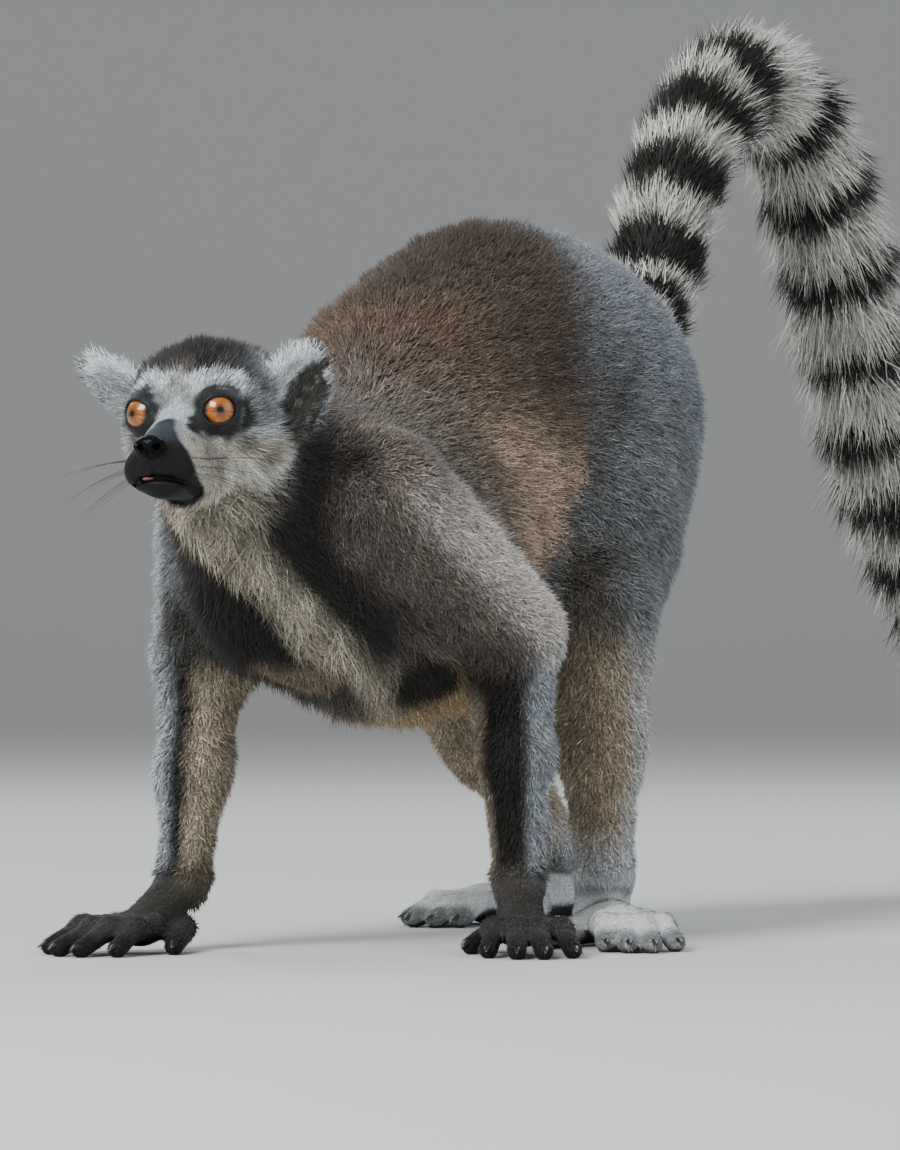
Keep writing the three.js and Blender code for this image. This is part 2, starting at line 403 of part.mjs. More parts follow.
const tailBox = (t0, t1) => { const a = tp(t0), b = tp(t1), m = tp((t0 + t1) / 2); return span([0, 1, 2].map((i) => Math.min(a[i], b[i], m[i])), [0, 1, 2].map((i) => Math.max(a[i], b[i], m[i])), 3.6); };
const tEdge = [0.045, ...TAIL_CUTS, 1];
['tail_root', 'tail_arch', 'tail_fall', 'tail_end'].forEach((name, i) => parts.push(
  [name, 'tail' + i, i < 3 ? ['tail' + (i + 1)] : [], tailBox(tEdge[i], tEdge[i + 1]), 0.42, 300, 'tail_fur']));

const SLOT = {
  face_fur: ['#d9d6cf', 0.9], neck_fur: ['#6f6a66', 0.9], body_fur: ['#85796c', 0.92], limb_fur: ['#77736f', 0.92],
  hand_skin: ['#4a4746', 0.85], foot_fur: ['#a5a4a2', 0.88], tail_fur: ['#57534f', 0.95], eye: ['#c8791e', 0.15],
};
const group3 = new THREE.Group();
group3.name = 'lemur';
const made = [];
const eyes = [['eye_left', 1], ['eye_right', -1]].map(([name, s]) => {
  const a = rad(EYE_OUT) * s, axis = hd(Math.sin(a), Math.cos(a), 0.03);
  const c = hp(s * EYE[0], EYE[1], EYE[2]);
  return { name, c, axis };
});
const sphereAt = (c, r) => { const g = new THREE.SphereGeometry(r, 16, 10); g.translate(...c); return g; };
for (const [name, own, beyond, box, h, tris, slot] of parts) {
  const mid = [0, 1, 2].map((i) => (box.lo[i] + box.hi[i]) / 2), Rb = Math.hypot(...sub(box.hi, box.lo)) / 2;
  const f0 = fieldNear(mid, Rb), inside = own && boxField(cuts[own], h * 1.2), out = beyond.map((b) => boxField(cuts[b], -h * 1.5));
  const f = (x, y, z) => {
    let d = f0(x, y, z);
    if (inside) d = Math.max(d, inside(x, y, z));
    for (const o of out) d = Math.max(d, -o(x, y, z));
    return Math.max(d, box.lo[0] + h - x, x - box.hi[0] + h, box.lo[1] + h - y, y - box.hi[1] + h, z - box.hi[2] + h, box.lo[2] > 0 ? box.lo[2] + h - z : -9);
  };
  let m = solid(toGeometry(thin(cleanNets(f, box.lo, box.hi, h), tris)));
  if (own) m = m.intersect(boxSolid(cuts[own]));
  for (const b of beyond) m = m.subtract(boxSolid(cuts[b], GAP));
  if (name === 'head') for (const e of eyes) m = m.subtract(solid(sphereAt(e.c, EYE_R + GAP)));
  if (name.startsWith('hand') || name.startsWith('foot')) {
    const floor = new THREE.BoxGeometry(60, 120, 4); floor.translate(0, 20, 2.08); m = m.intersect(solid(floor).translate([0, 0, -0.04]));
  }
  made.push([name, toGeometry(largest(m)), slot]);
}
for (const e of eyes) { const g = sphereAt(e.c, EYE_R); g.deleteAttribute('normal'); g.deleteAttribute('uv'); made.push([e.name, BufferGeometryUtils.mergeVertices(g, 1e-6), 'eye']); }

// ---------------------------------------------------------------- placing
const all = new THREE.Box3();
for (const [, g] of made) { g.computeBoundingBox(); all.union(g.boundingBox); }
const cx = (all.min.x + all.max.x) / 2, cy = (all.min.y + all.max.y) / 2, cz = all.min.z;
for (const [name, g, slot] of made) {
  g.translate(-cx, -cy, -cz); g.scale(MM, MM, MM); g.computeVertexNormals();
  const [color, roughness] = SLOT[slot];
  const mesh = new THREE.Mesh(g, new THREE.MeshStandardMaterial({ color, roughness, metalness: 0 }));
  mesh.name = name; mesh.material.name = slot;
  group3.add(mesh);
}
group3.userData.shift = [cx, cy, cz];

export default group3;
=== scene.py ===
import bpy
import math
import numpy as np
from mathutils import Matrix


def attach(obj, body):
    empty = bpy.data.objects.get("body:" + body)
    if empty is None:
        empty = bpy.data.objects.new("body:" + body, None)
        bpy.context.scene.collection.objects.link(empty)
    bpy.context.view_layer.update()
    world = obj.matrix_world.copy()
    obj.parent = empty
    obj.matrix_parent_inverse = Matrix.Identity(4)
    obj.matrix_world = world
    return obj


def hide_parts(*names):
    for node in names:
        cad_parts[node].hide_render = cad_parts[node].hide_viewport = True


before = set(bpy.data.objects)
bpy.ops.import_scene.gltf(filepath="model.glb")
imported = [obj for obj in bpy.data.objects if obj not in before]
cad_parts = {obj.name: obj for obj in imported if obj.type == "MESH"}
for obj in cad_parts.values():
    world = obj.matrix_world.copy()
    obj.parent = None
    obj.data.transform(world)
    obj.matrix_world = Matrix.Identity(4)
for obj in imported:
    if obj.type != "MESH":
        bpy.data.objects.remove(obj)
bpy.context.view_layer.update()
F = np.float32
rng = np.random.default_rng(20)

# ------------------------------------------------------------------ frame
# Shapes are worked out in centimetres: X the animal's left, -Y forward, Z up.
SHIFT = np.array([1.1005730628967285, 22.1431303024292, 0.03999999910593033])


def to_m(P):
    return (np.asarray(P, float) - SHIFT) / 100.0


# ------------------------------------------------------------------ distance tools
def smin(a, b, k):
    h = np.maximum(k - np.abs(a - b), 0) / k
    return np.minimum(a, b) - h * h * k * 0.25


def smax(a, b, k):
    return -smin(-a, -b, k)


def unit(v):
    v = np.asarray(v, float)
    return v / np.linalg.norm(v)


def rows(v):
    return v / np.maximum(np.linalg.norm(v, axis=1, keepdims=True), 1e-9)


def step(a, b, x):
    t = np.clip((x - a) / (b - a), 0, 1)
    return t * t * (3 - 2 * t)


def d_cone(p, a, b, ra, rb, n=None, s=1.0):
    a = np.asarray(a, F)
    b = np.asarray(b, F)
    q = p - a
    ba = b - a
    if n is not None:
        n = unit(n).astype(F)
        k = 1.0 / s - 1.0
        q = q + np.outer(q @ n, n) * F(k)
        ba = ba + n * F((ba @ n) * k)
    l2 = float(ba @ ba)
    rr = ra - rb
    a2 = l2 - rr * rr
    il2 = 1.0 / l2
    y = q @ ba
    z = y - l2
    x = q * F(l2) - np.outer(y, ba)
    x2 = np.einsum("ij,ij->i", x, x)
    y2 = y * y * l2
    z2 = z * z * l2
    k = np.sign(rr) * rr * rr * x2
    out = (np.sqrt(x2 * a2 * il2) + y * rr) * il2 - ra
    out = np.where(np.sign(y) * a2 * y2 < k, np.sqrt(x2 + y2) * il2 - ra, out)
    out = np.where(np.sign(z) * a2 * z2 > k, np.sqrt(x2 + z2) * il2 - rb, out)
    if n is not None:
        out = out * (0.5 + 0.5 * s)
    return out.astype(F)


def d_ell(p, c, r, R=None):
    q = p - np.asarray(c, F)
    if R is not None:
        q = q @ np.asarray(R, F)
    r = np.asarray(r, F)
    k0 = np.linalg.norm(q / r, axis=1)
    k1 = np.linalg.norm(q / (r * r), axis=1)
    return (k0 * (k0 - 1) / np.maximum(k1, 1e-6)).astype(F)


# ------------------------------------------------------------------ the body's table
J = dict(
    shL=(4.0, -2.6, 17.2), elL=(5.6, 4.0, 12.0), wrL=(5.5, 4.6, 2.6),
    shR=(-3.7, -1.8, 16.4), elR=(-5.2, -0.8, 11.0), wrR=(-5.3, -2.0, 2.6),
    hipL=(2.8, 14.9, 19.4), knL=(5.9, 9.6, 13.0), anL=(5.0, 11.8, 2.6),
    hipR=(-2.8, 15.3, 19.4), knR=(-5.0, 13.6, 12.0), anR=(-4.6, 24.2, 3.0),
)
HEAD = np.array([0.5, -9.0, 20.8])
yaw, roll = math.radians(14.2), math.radians(2.0)
_l = np.array([math.cos(yaw), math.sin(yaw), 0.0])
_f = np.array([math.sin(yaw), -math.cos(yaw), 0.0])
_u = np.array([0, 0, 1.0])
HF = np.stack([_l * math.cos(roll) + _u * math.sin(roll), _f, _u * math.cos(roll) - _l * math.sin(roll)])


def hp(x, f, z):
    return HEAD + np.array([x, f, z]) @ HF


def hdir(x, f, z):
    return unit(np.array([x, f, z]) @ HF)


def local(P):
    return (np.asarray(P) - HEAD) @ HF.T


X = (1, 0, 0)
EYE_R = 0.80
EYE = {s: (s * 1.32, 2.52, -0.78) for s in (1, -1)}
EYE_AX = {s: unit((s * math.sin(math.radians(27)), math.cos(math.radians(27)), 0.03)) for s in (1, -1)}


def C(a, b, ra, rb, n=None, s=1.0, flow=None):
    a, b = np.asarray(a, float), np.asarray(b, float)
    return dict(k="c", a=a, b=b, ra=ra, rb=rb, n=n, s=s, c=(a + b) / 2, R=np.linalg.norm(b - a) / 2 + max(ra, rb),
                flow=unit(b - a) if flow is None else unit(flow))


def E(c, r, R=None, flow=(0, 1, 0)):
    return dict(k="e", c=np.asarray(c, float), r=r, M=R, R=float(max(r)), flow=unit(flow))


def HC(a, b, ra, rb, n=None, s=1.0, flow=None):
    return C(hp(*a), hp(*b), ra, rb, None if n is None else np.asarray(n) @ HF, s, None if flow is None else hdir(*flow))


def HE(c, r, R=None, flow=(0, -1, 0)):
    return E(hp(*c), r, HF.T if R is None else HF.T @ R, hdir(*flow))


def ev(pr, p):
    if pr["k"] == "c":
        return d_cone(p, pr["a"], pr["b"], pr["ra"], pr["rb"], pr["n"], pr["s"])
    return d_ell(p, pr["c"], pr["r"], pr["M"])


GROUPS = []
i = 0.40
GROUPS.append(("trunk", 2.6, 0.0, [
    C((0, .9, 17.3), (0, 6.2, 19.7), 3.3 - i, 5.5 - i, X, .90, (0, 1, -.10)),
    C((0, 6.2, 19.7), (0, 11.5, 21.1), 5.5 - i, 6.35 - i, X, .84, (0, 1, -.18)),
    C((0, 11.5, 21.1), (0, 16, 20.7), 6.35 - i, 6.0 - i, X, .82, (0, 1, -.25)),
    C((0, 16, 20.7), (0, 19.1, 20.7), 6.0 - i, 4.2 - i, X, .82, (0, 1, -.8)),
    C((0, -.6, 14.4), (0, 4.5, 14.9), 4.7 - i, 5.7 - i, X, .90, (0, .7, -.7)),
    C((0, 4.5, 14.9), (0, 13, 17.8), 5.7 - i, 5.4 - i, X, .86, (0, 1, -.25)),
]))
GROUPS.append(("neck", 1.6, 1.8, [
    C((0, .3, 17.4), (.3, -7, 19.6), 3.5 - .42, 2.7 - .42, flow=(0, 1, -.25)),
    C((-.1, -2.6, 14.6), (0, -7.6, 17.8), 3.7 - .5, 2.3 - .45, flow=(0, .55, -.85)),
]))
GROUPS.append(("head", 0.7, 0.9, [
    HE((0, -.35, -.40), (2.85 - .17, 3.1 - .17, 2.30 - .17)),
    HE((0, .80, -.85), (2.80 - .17, 2.25 - .15, 1.80 - .13)),
    HE((1.5, .2, -1.9), (1.35 - .22, 1.7 - .22, 1.40 - .22)),
    HE((-1.5, .2, -1.9), (1.35 - .22, 1.7 - .22, 1.40 - .22)),
    HC((0, 2, -1.65), (0, 5.35, -2.25), 1.40 - .08, .72 - .05),
    HC((.35, 2.6, -2.6), (.52, 4.85, -2.85), 1.0 - .07, .75 - .05),
    HC((-.35, 2.6, -2.6), (-.70, 4.85, -2.85), 1.0 - .07, .75 - .05),
    HC((0, 1.4, -2.7), (0, 4.85, -3.30), 1.2 - .12, .60 - .06),
]))
EAR = {1: ((3.25, -.3, -.15), (.40, .06, .91), (1.95, 1.30, .45)), -1: ((-3.30, -.35, .25), (-.78, .05, .62), (1.80, 1.05, .42))}


def ear_axes(s):
    c, u, r = EAR[s]
    u = unit(u)
    n = unit((s * .48, .88, 0.0))
    n = unit(n - u * (n @ u))
    return np.array(c), np.stack([u, np.cross(u, n), n], 1), np.array(r)


for s, nm in ((1, "ear_left"), (-1, "ear_right")):
    c, R, r = ear_axes(s)
    GROUPS.append((nm, .4, .5, [HE(c, r - np.array([.12, .10, .10]), R, flow=R[:, 0]),
                                HC((s * 2.0, -.5, -.7), (s * 2.9, -.4, -.4 if s > 0 else -.1), 1.1 - .12, .8 - .12, flow=R[:, 0])]))


def arm(sh, el, wr):
    m = (np.array(el) + np.array(wr)) / 2
    return [C(sh, el, 2.6 - .36, 1.95 - .32), C(el, m, 1.75 - .28, 1.4 - .24), C(m, wr, 1.4 - .24, 1.0 - .14)]


GROUPS.append(("arm_left", 1.0, 2.0, arm(J["shL"], J["elL"], J["wrL"])))
GROUPS.append(("arm_right", 1.0, 2.0, arm(J["shR"], J["elR"], J["wrR"])))


def leg(hip, kn, an, bk):
    hip, kn, an, bk = (np.array(v, float) for v in (hip, kn, an, bk))
    m, t = (kn + an) / 2, (hip + kn) / 2
    return [C(hip, t, 4.4 - .40, 3.6 - .38, X, .74, (0, .35, -.9)), C(t, kn, 3.6 - .38, 2.3 - .32, X, .85, (0, .1, -1)),
            C(bk, kn * .8 + an * .2, 2.8 - .38, 1.9 - .3, X, .8, (0, .4, -.9)),
            C(kn, m, 2.1 - .30, 1.65 - .26), C(m, an, 1.65 - .26, 1.15 - .18)]


GROUPS.append(("leg_left", 1.5, 2.5, leg(J["hipL"], J["knL"], J["anL"], (3.4, 15.1, 16.2))))
GROUPS.append(("leg_right", 1.5, 2.5, leg(J["hipR"], J["knR"], J["anR"], (-3.4, 16.6, 16.2))))
DIGITS = []                       # (limb, knuckle, tip, radius at the tip, thumb?)


def paw(kind, name, w, ang, s):
    w = np.array(w)
    a = math.radians(ang) * s
    f = np.array([math.sin(a), -math.cos(a), 0])
    l = np.array([math.cos(a), math.sin(a), 0])
    up = np.array([0, 0, 1.0])
    i = .08

    def P(x, y, z):
        return np.array([w[0], w[1], 0]) + l * x * s + f * y + up * z
    if kind == "hand":
        out = [C(w, P(0, 2.4, .95), 1.0 - .12, .95 - .12, up, .8, f)]
        for x0, x1, y1 in ((1.05, 1.75, 5.4), (.4, .65, 6.1), (-.25, -.35, 6.0), (-.85, -1.35, 5.1)):
            k0, k1, k2 = P(x0, 2.6, 1.0), P((x0 + x1) / 2, (2.6 + y1) / 2, 1.05), P(x1, y1, .33)
            out += [C(k0, k1, .55 - i, .45 - i), C(k1, k2, .45 - i, .38 - .04)]
            DIGITS.append((name, k1, k2, .34, False))
        k0, k2 = P(-.6, .7, .9), P(-1.9, 2.6, .36)
        out += [C(k0, k2, .6 - i, .40 - .05)]
        DIGITS.append((name, k0, k2, .35, True))
    else:
        out = [C(P(0, -1, 1.1), w, 1.15 - .14, 1.2 - .14, flow=f), C(P(0, -1, 1), P(0, 4.6, .85), 1.1 - .12, 1.15 - .12, up, .8, f)]
        for x0, x1, y1 in ((1.05, 1.7, 7.6), (.45, .7, 8.6), (-.15, -.2, 8.4), (-.7, -.95, 7.7)):
            k0, k1, k2 = P(x0, 4.8, .9), P((x0 + x1) / 2, (4.9 + y1) / 2, .95), P(x1, y1, .36)
            out += [C(k0, k1, .6 - i, .48 - i), C(k1, k2, .48 - i, .42 - .05)]
            DIGITS.append((name, k1, k2, .37, False))
        k0, k2 = P(-.8, 2.6, .8), P(-2.5, 5, .45)
        out += [C(k0, k2, .75 - i, .52 - .06)]
        DIGITS.append((name, k0, k2, .46, True))
    return out


GROUPS.append(("hand_left", .4, .6, paw("hand", "hand_left", J["wrL"], 34, 1)))
GROUPS.append(("hand_right", .4, .6, paw("hand", "hand_right", J["wrR"], 8, -1)))
GROUPS.append(("foot_left", .4, .6, paw("foot", "foot_left", J["anL"], 38, 1)))
GROUPS.append(("foot_right", .4, .6, paw("foot", "foot_right", J["anR"], 6, -1)))
TAIL = [(20.8, 22.8), (23.6, 25), (24.9, 28.3), (27, 31.8), (30.8, 34.6), (35.2, 33.6), (38.4, 29.8), (40.8, 25.4), (43.2, 21.2),
        (46, 17.2), (49.6, 13.6), (54, 10.6), (58, 8.6)]


def catmull(P, n):
    P = np.asarray(P, float)
    Q = np.vstack([2 * P[0] - P[1], P, 2 * P[-1] - P[-2]])
    out = []
    for i in range(len(P) - 1):
        t = np.linspace(0, 1, n, endpoint=False)[:, None]
        a, b, c, d = Q[i:i + 4]
        out.append(.5 * ((2 * b) + (c - a) * t + (2 * a - 5 * b + 4 * c - d) * t * t + (3 * b - a - 3 * c + d) * t ** 3))
    out.append(P[-1:])
    return np.vstack(out)


def tail_r(t):
    t = np.asarray(t, float)
    r = 1.75 + .95 * np.sin(np.minimum(t, .8) / .8 * np.pi / 2) ** .8
    return np.where(t > .8, r - 1.2 * ((t - .8) / .2) ** 2, r)


tc = catmull([(0, y, z) for y, z in TAIL], 16)
ts = np.r_[0, np.cumsum(np.linalg.norm(np.diff(tc, axis=0), axis=1))]
TAIL_LEN = ts[-1]
tsel = list(range(0, len(tc), 8))
if tsel[-1] != len(tc) - 1:
    tsel.append(len(tc) - 1)


def core_r(t):
    """The tail's own thickness under its hair."""
    return 1.15 - .35 * np.clip(t, 0, 1) - .25 * step(.9, 1.0, np.asarray(t, float))


GROUPS.append(("tail", .3, 1.4, [C(tc[a], tc[b], float(core_r(ts[a] / TAIL_LEN)), float(core_r(ts[b] / TAIL_LEN))) for a, b in zip(tsel[:-1], tsel[1:])]))
# the last of the bone stops short of the hair's end
GROUPS[-1][3][-1] = C(tc[tsel[-2]], tc[tsel[-2]] * .3 + tc[tsel[-1]] * .7, .62, .45)
NAMES = [g[0] for g in GROUPS]
GI = {n: k for k, n in enumerate(NAMES)}

# ------------------------------------------------------------------ the face's carving
NOSE = (-.05, 5.95, -2.05)
CARVE_C, CARVE_R = hp(0, 1.5, -1.0), 7.5


def face(p, f):
    """Lids, nose pad, nostrils, mouth and ear cups, in the head's own axes."""
    q = ((p - HEAD.astype(F)) @ HF.T.astype(F)).astype(F)
    # nose pad, split by the groove that runs down to the lip
    f = smin(f, d_ell(q, NOSE, (.59, .38, .41)), F(.14))
    f = smax(f, -d_cone(q, (0, 6.34, -2.15), (0, 5.72, -2.95), .045, .05), F(.08))
    for s in (1, -1):
        c = np.array(EYE[s])
        ax = EYE_AX[s]
        r = np.linalg.norm(q - c.astype(F), axis=1)
        # the ball of the lids, and the opening in it, longer than high and drawn down towards the nose
        f = smin(f, r - F(EYE_R + .075), F(.34))
        side = unit(np.cross(ax, (0, 0, 1)))
        up = np.cross(side, ax)
        tip = math.radians(8) * s
        e1 = side * math.cos(tip) + up * math.sin(tip)
        e2 = np.cross(e1, ax)
        hole = np.maximum(d_ell(q, c + ax * EYE_R, (.66, .475, .75), np.stack([e1, e2, ax], 1)), F(EYE_R - .14) - r)
        f = smax(f, -hole, F(.07))
        # nostril: a round hole with a slit running out and back
        f = smax(f, -d_cone(q, (s * .25, 6.46, -2.10), (s * .30, 6.05, -2.10), .155, .12), F(.05))
        f = smax(f, -d_cone(q, (s * .34, 6.26, -2.06), (s * .62, 5.90, -1.93), .085, .05), F(.04))
        # mouth
        pts = [(0, 5.60, -3.16), (s * .5, 5.50, -3.22), (s * .88, 5.1, -3.34), (s * 1.01, 4.2, -3.50), (s * .88, 3.3, -3.62), (s * .82, 2.6, -3.70)]
        rad = [.16, .14, .11, .10, .08, .04]
        for a, b, ra, rb in zip(pts[:-1], pts[1:], rad[:-1], rad[1:]):
            f = smax(f, -d_cone(q, a, b, ra, rb, (0, 0, 1), .75), F(.10))
        # ear cup
        c, R, r = ear_axes(s)
        cup = d_ell(q, c + R[:, 2] * .46 - R[:, 0] * .12, r * np.array([.80, .76, 1.05]), R)
        f = smax(f, -cup, F(.12))
    return f


def field(p, full=False):
    """Signed distance to the skin at points that lie close together. full also gives each group's value and the lie of the coat."""
    lo, hi = p.min(0), p.max(0)
    res, vals, flows = None, {}, {}
    for gi, (name, k, kb, prims) in enumerate(GROUPS):
        g, acc, wsum = None, None, None
        for pr in prims:
            c = pr["c"]
            gap = np.linalg.norm(np.maximum(np.maximum(lo - c, c - hi), 0)) - pr["R"]
            if gap > 3.2:
                continue
            v = ev(pr, p)
            g = v if g is None else smin(g, v, F(k))
            if full:
                w = np.exp(-np.clip(v, -2, 30) / .45)[:, None]
                fl = w * pr["flow"].astype(F)
                acc = fl if acc is None else acc + fl
                wsum = w if wsum is None else wsum + w
        if g is None:
            continue
        vals[gi] = g
        if full:
            flows[gi] = acc / np.maximum(wsum, 1e-12)
        res = g if res is None else smin(res, g, F(max(kb, .1)))
    if res is None:
        return (np.full(len(p), 9, F), None, None) if full else np.full(len(p), 9, F)
    gap = np.linalg.norm(np.maximum(np.maximum(lo - CARVE_C, CARVE_C - hi), 0)) - CARVE_R
    if gap < 0:
        res = face(p, res)
    res = smax(res, -p[:, 2], F(.12))
    if not full:
        return res
    V = np.full((len(p), len(GROUPS)), 9, F)
    D = np.zeros((len(p), 3), F)
    for gi, v in vals.items():
        V[:, gi] = v
    W = np.exp(-np.clip(V - V.min(1, keepdims=True), 0, 20) / .5)
    for gi, d in flows.items():
        D += W[:, gi:gi + 1] * d
    return res, V, D


def chunks(P, size=2.6):
    """Index lists of points that lie close together."""
    k = np.floor((P - P.min(0)) / size).astype(np.int64)
    key = (k[:, 0] * 4096 + k[:, 1]) * 4096 + k[:, 2]
    order = np.argsort(key, kind="stable")
    cut = np.flatnonzero(np.diff(key[order])) + 1
    return np.split(order, cut)


def fval(P):
    P = np.asarray(P, F)
    out = np.empty(len(P), F)
    for idx in chunks(P):
        out[idx] = field(P[idx])
    return out


# ------------------------------------------------------------------ one skin from one graded grid
def axis_steps(lo, hi, table):
    xs = [lo]
    tx, th = [t[0] for t in table], [t[1] for t in table]
    while xs[-1] < hi:
        xs.append(xs[-1] + float(np.interp(xs[-1], tx, th)))
    n = (len(xs) - 1 + 7) // 8 * 8 + 1
    while len(xs) < n:
        xs.append(xs[-1] + .25)
    return np.array(xs)


Q = 1.0
AX = [axis_steps(-9.9, 11.6, [(-6, .16 * Q), (-5, .10 * Q), (5, .10 * Q), (6, .14 * Q)]),
      axis_steps(-17.5, 60.0, [(-9.5, .075 * Q), (-7.5, .12 * Q), (-4, .18 * Q), (20, .20 * Q), (26, .26 * Q)]),
      axis_steps(-.35, 37.5, [(2.6, .095 * Q), (4, .20 * Q), (13.5, .22 * Q), (16, .085 * Q), (24, .085 * Q), (26, .22 * Q)])]


def nets(A, B=8):
    nb = [(len(a) - 1) // B for a in A]
    ii = np.stack(np.meshgrid(*[np.arange(n) for n in nb], indexing="ij"), -1).reshape(-1, 3)
    lo = np.stack([A[k][ii[:, k] * B] for k in range(3)], 1)
    hi = np.stack([A[k][ii[:, k] * B + B] for k in range(3)], 1)
    cen, half = (lo + hi) / 2, np.linalg.norm(hi - lo, axis=1) / 2
    keep = np.abs(fval(cen)) < half * 1.25 + .15
    ii, cen = ii[keep], cen[keep]
    n1 = B + 1
    loc = np.stack(np.meshgrid(*[np.arange(n1)] * 3, indexing="ij"), -1).reshape(-1, 3)
    V = np.empty((len(ii), n1 ** 3), F)
    for idx in chunks(cen, 2.4):
        for k in range(0, len(idx), 60):
            blk = idx[k:k + 60]
            g = ii[blk][:, None, :] * B + loc[None]
            P = np.stack([A[m][g[..., m]] for m in range(3)], -1).reshape(-1, 3).astype(F)
            V[blk] = field(P).reshape(len(blk), -1)
    V = V.reshape(-1, n1, n1, n1)
    c = [V[:, i:i + B, j:j + B, k:k + B] for i in (0, 1) for j in (0, 1) for k in (0, 1)]
    neg = sum((x < 0).astype(np.int8) for x in c)
    b, i, j, k = np.nonzero((neg > 0) & (neg < 8))
    cv = np.stack([x[b, i, j, k] for x in c], 1)
    corner = np.array([(a, b_, c_) for a in (0, 1) for b_ in (0, 1) for c_ in (0, 1)], float)
    acc, cnt = np.zeros((len(b), 3)), np.zeros(len(b))
    for e0 in range(8):
        for e1 in range(e0 + 1, 8):
            if np.abs(corner[e0] - corner[e1]).sum() != 1:
                continue
            v0, v1 = cv[:, e0], cv[:, e1]
            cr = (v0 < 0) != (v1 < 0)
            t = np.where(cr, v0 / np.where(cr, v0 - v1, 1), 0)
            acc += (corner[e0] + (corner[e1] - corner[e0]) * t[:, None]) * cr[:, None]
            cnt += cr
    loc3 = acc / cnt[:, None]
    g = ii[b] * B + np.stack([i, j, k], 1)
    verts = np.stack([A[m][g[:, m]] + loc3[:, m] * (A[m][g[:, m] + 1] - A[m][g[:, m]]) for m in range(3)], 1)
    N = [len(a) + 4 for a in A]
    key = (g[:, 0] * N[1] + g[:, 1]) * N[2] + g[:, 2]
    order = np.argsort(key)
    sk = key[order]

    def find(gg):
        kk = (gg[:, 0] * N[1] + gg[:, 1]) * N[2] + gg[:, 2]
        q = np.minimum(np.searchsorted(sk, kk), len(sk) - 1)
        return np.where(sk[q] == kk, order[q], -1)
    quads = []
    v000 = cv[:, 0]
    for ci, u, w in ((4, 1, 2), (2, 2, 0), (1, 0, 1)):
        v1 = cv[:, ci]
        cr = (v000 < 0) != (v1 < 0)
        gs = g[cr]
        eu, ew = np.zeros(3, int), np.zeros(3, int)
        eu[u] = 1
        ew[w] = 1
        q = np.stack([find(gs), find(gs - eu), find(gs - eu - ew), find(gs - ew)], 1)
        q = np.where((v000[cr] < 0)[:, None], q, q[:, ::-1])
        quads.append(q[(q >= 0).all(1)])
    return verts, np.concatenate(quads)


def vnormals(V, T):
    n = np.cross(V[T[:, 1]] - V[T[:, 0]], V[T[:, 2]] - V[T[:, 0]])
    out = np.zeros_like(V)
    for c in range(3):
        for a in range(3):
            out[:, a] += np.bincount(T[:, c], n[:, a], len(V))
    return rows(out)


import time
t0 = time.time()
SV, SQ = nets(AX)
# settle the points on the true surface
for _ in range(2):
    e = .03
    T = np.concatenate([SQ[:, [0, 1, 2]], SQ[:, [0, 2, 3]]])
    N = vnormals(SV, T)
    d0 = fval(SV)
    d1 = fval(SV + N * e)
    g = np.clip((d1 - d0) / e, .35, 1.5)
    SV = SV - N * np.clip(d0 / g, -.05, .05)[:, None]
T = np.concatenate([SQ[:, [0, 1, 2]], SQ[:, [0, 2, 3]]])
SN = vnormals(SV, T)
print("skin", len(SV), "points", len(SQ), "quads", round(time.time() - t0, 1), "s")
GV = np.empty((len(SV), len(GROUPS)), F)
FL = np.empty((len(SV), 3), F)
for idx in chunks(SV):
    _, v, d = field(SV[idx].astype(F), full=True)
    GV[idx] = v
    FL[idx] = d
GID = GV.argmin(1)
HL = local(SV)
# on the head the coat runs back from the nose
hw = np.exp(-np.clip(GV[:, GI["head"]] - GV.min(1), 0, 20) / .5)[:, None]
away = rows(HL - np.array([0, 6.6, -2.2]))
FL = FL + hw * (away @ HF) * .9
for s, nm in ((1, "ear_left"), (-1, "ear_right")):
    c, R, r = ear_axes(s)
    e = (HL - c) @ R
    fan = rows(np.stack([e[:, 0] / r[0] ** 2, e[:, 1] / r[1] ** 2, np.zeros(len(e))], 1)) @ R.T
    ew = np.exp(-np.clip(GV[:, GI[nm]] - GV.min(1), 0, 20) / .4)[:, None] * step(.35, .95, np.sqrt((e[:, 0] / r[0]) ** 2 + (e[:, 1] / r[1]) ** 2))[:, None]
    ew = ew * (1.0 if s > 0 else .55)
    FL = FL * (1 - ew * .45) + ew * (fan @ HF) * .9
# tail arc length of every point
k = np.argmin(((SV[:, None, 1:] - tc[None, ::2, 1:]) ** 2).sum(2), 1) if len(SV) < 1 else None


def arc_of(P):
    out = np.zeros(len(P))
    for a in range(0, len(P), 20000):
        d = ((P[a:a + 20000, None, :] - tc[None, :, :]) ** 2).sum(2)
        j = d.argmin(1)
        j0 = np.clip(j, 0, len(tc) - 2)
        seg = tc[j0 + 1] - tc[j0]
        t = ((P[a:a + 20000] - tc[j0]) * seg).sum(1) / (seg ** 2).sum(1)
        out[a:a + 20000] = ts[j0] + t * (ts[j0 + 1] - ts[j0])
    return out


def noise3(P, f, seed):
    """Smooth value between about -1 and 1, the same on every run."""
    r = np.random.default_rng(seed)
    out = np.zeros(len(P))
    for _ in range(5):
        k = rows(r.normal(size=(1, 3)))[0] * f * r.uniform(.7, 1.4)
        out += np.sin(P @ k * 2 * np.pi + r.uniform(0, 6.3))
    return out / 2.6


# ------------------------------------------------------------------ markings, with some painted highlight, rim light, sheen and shade
def lin(r, g, b):
    c = np.array([r, g, b]) / 255.0
    return np.where(c <= .04045, c / 12.92, ((c + .055) / 1.055) ** 2.4)


def mix(c, d, w):
    w = np.asarray(w)[:, None]
    return c * (1 - w) + np.asarray(d) * w


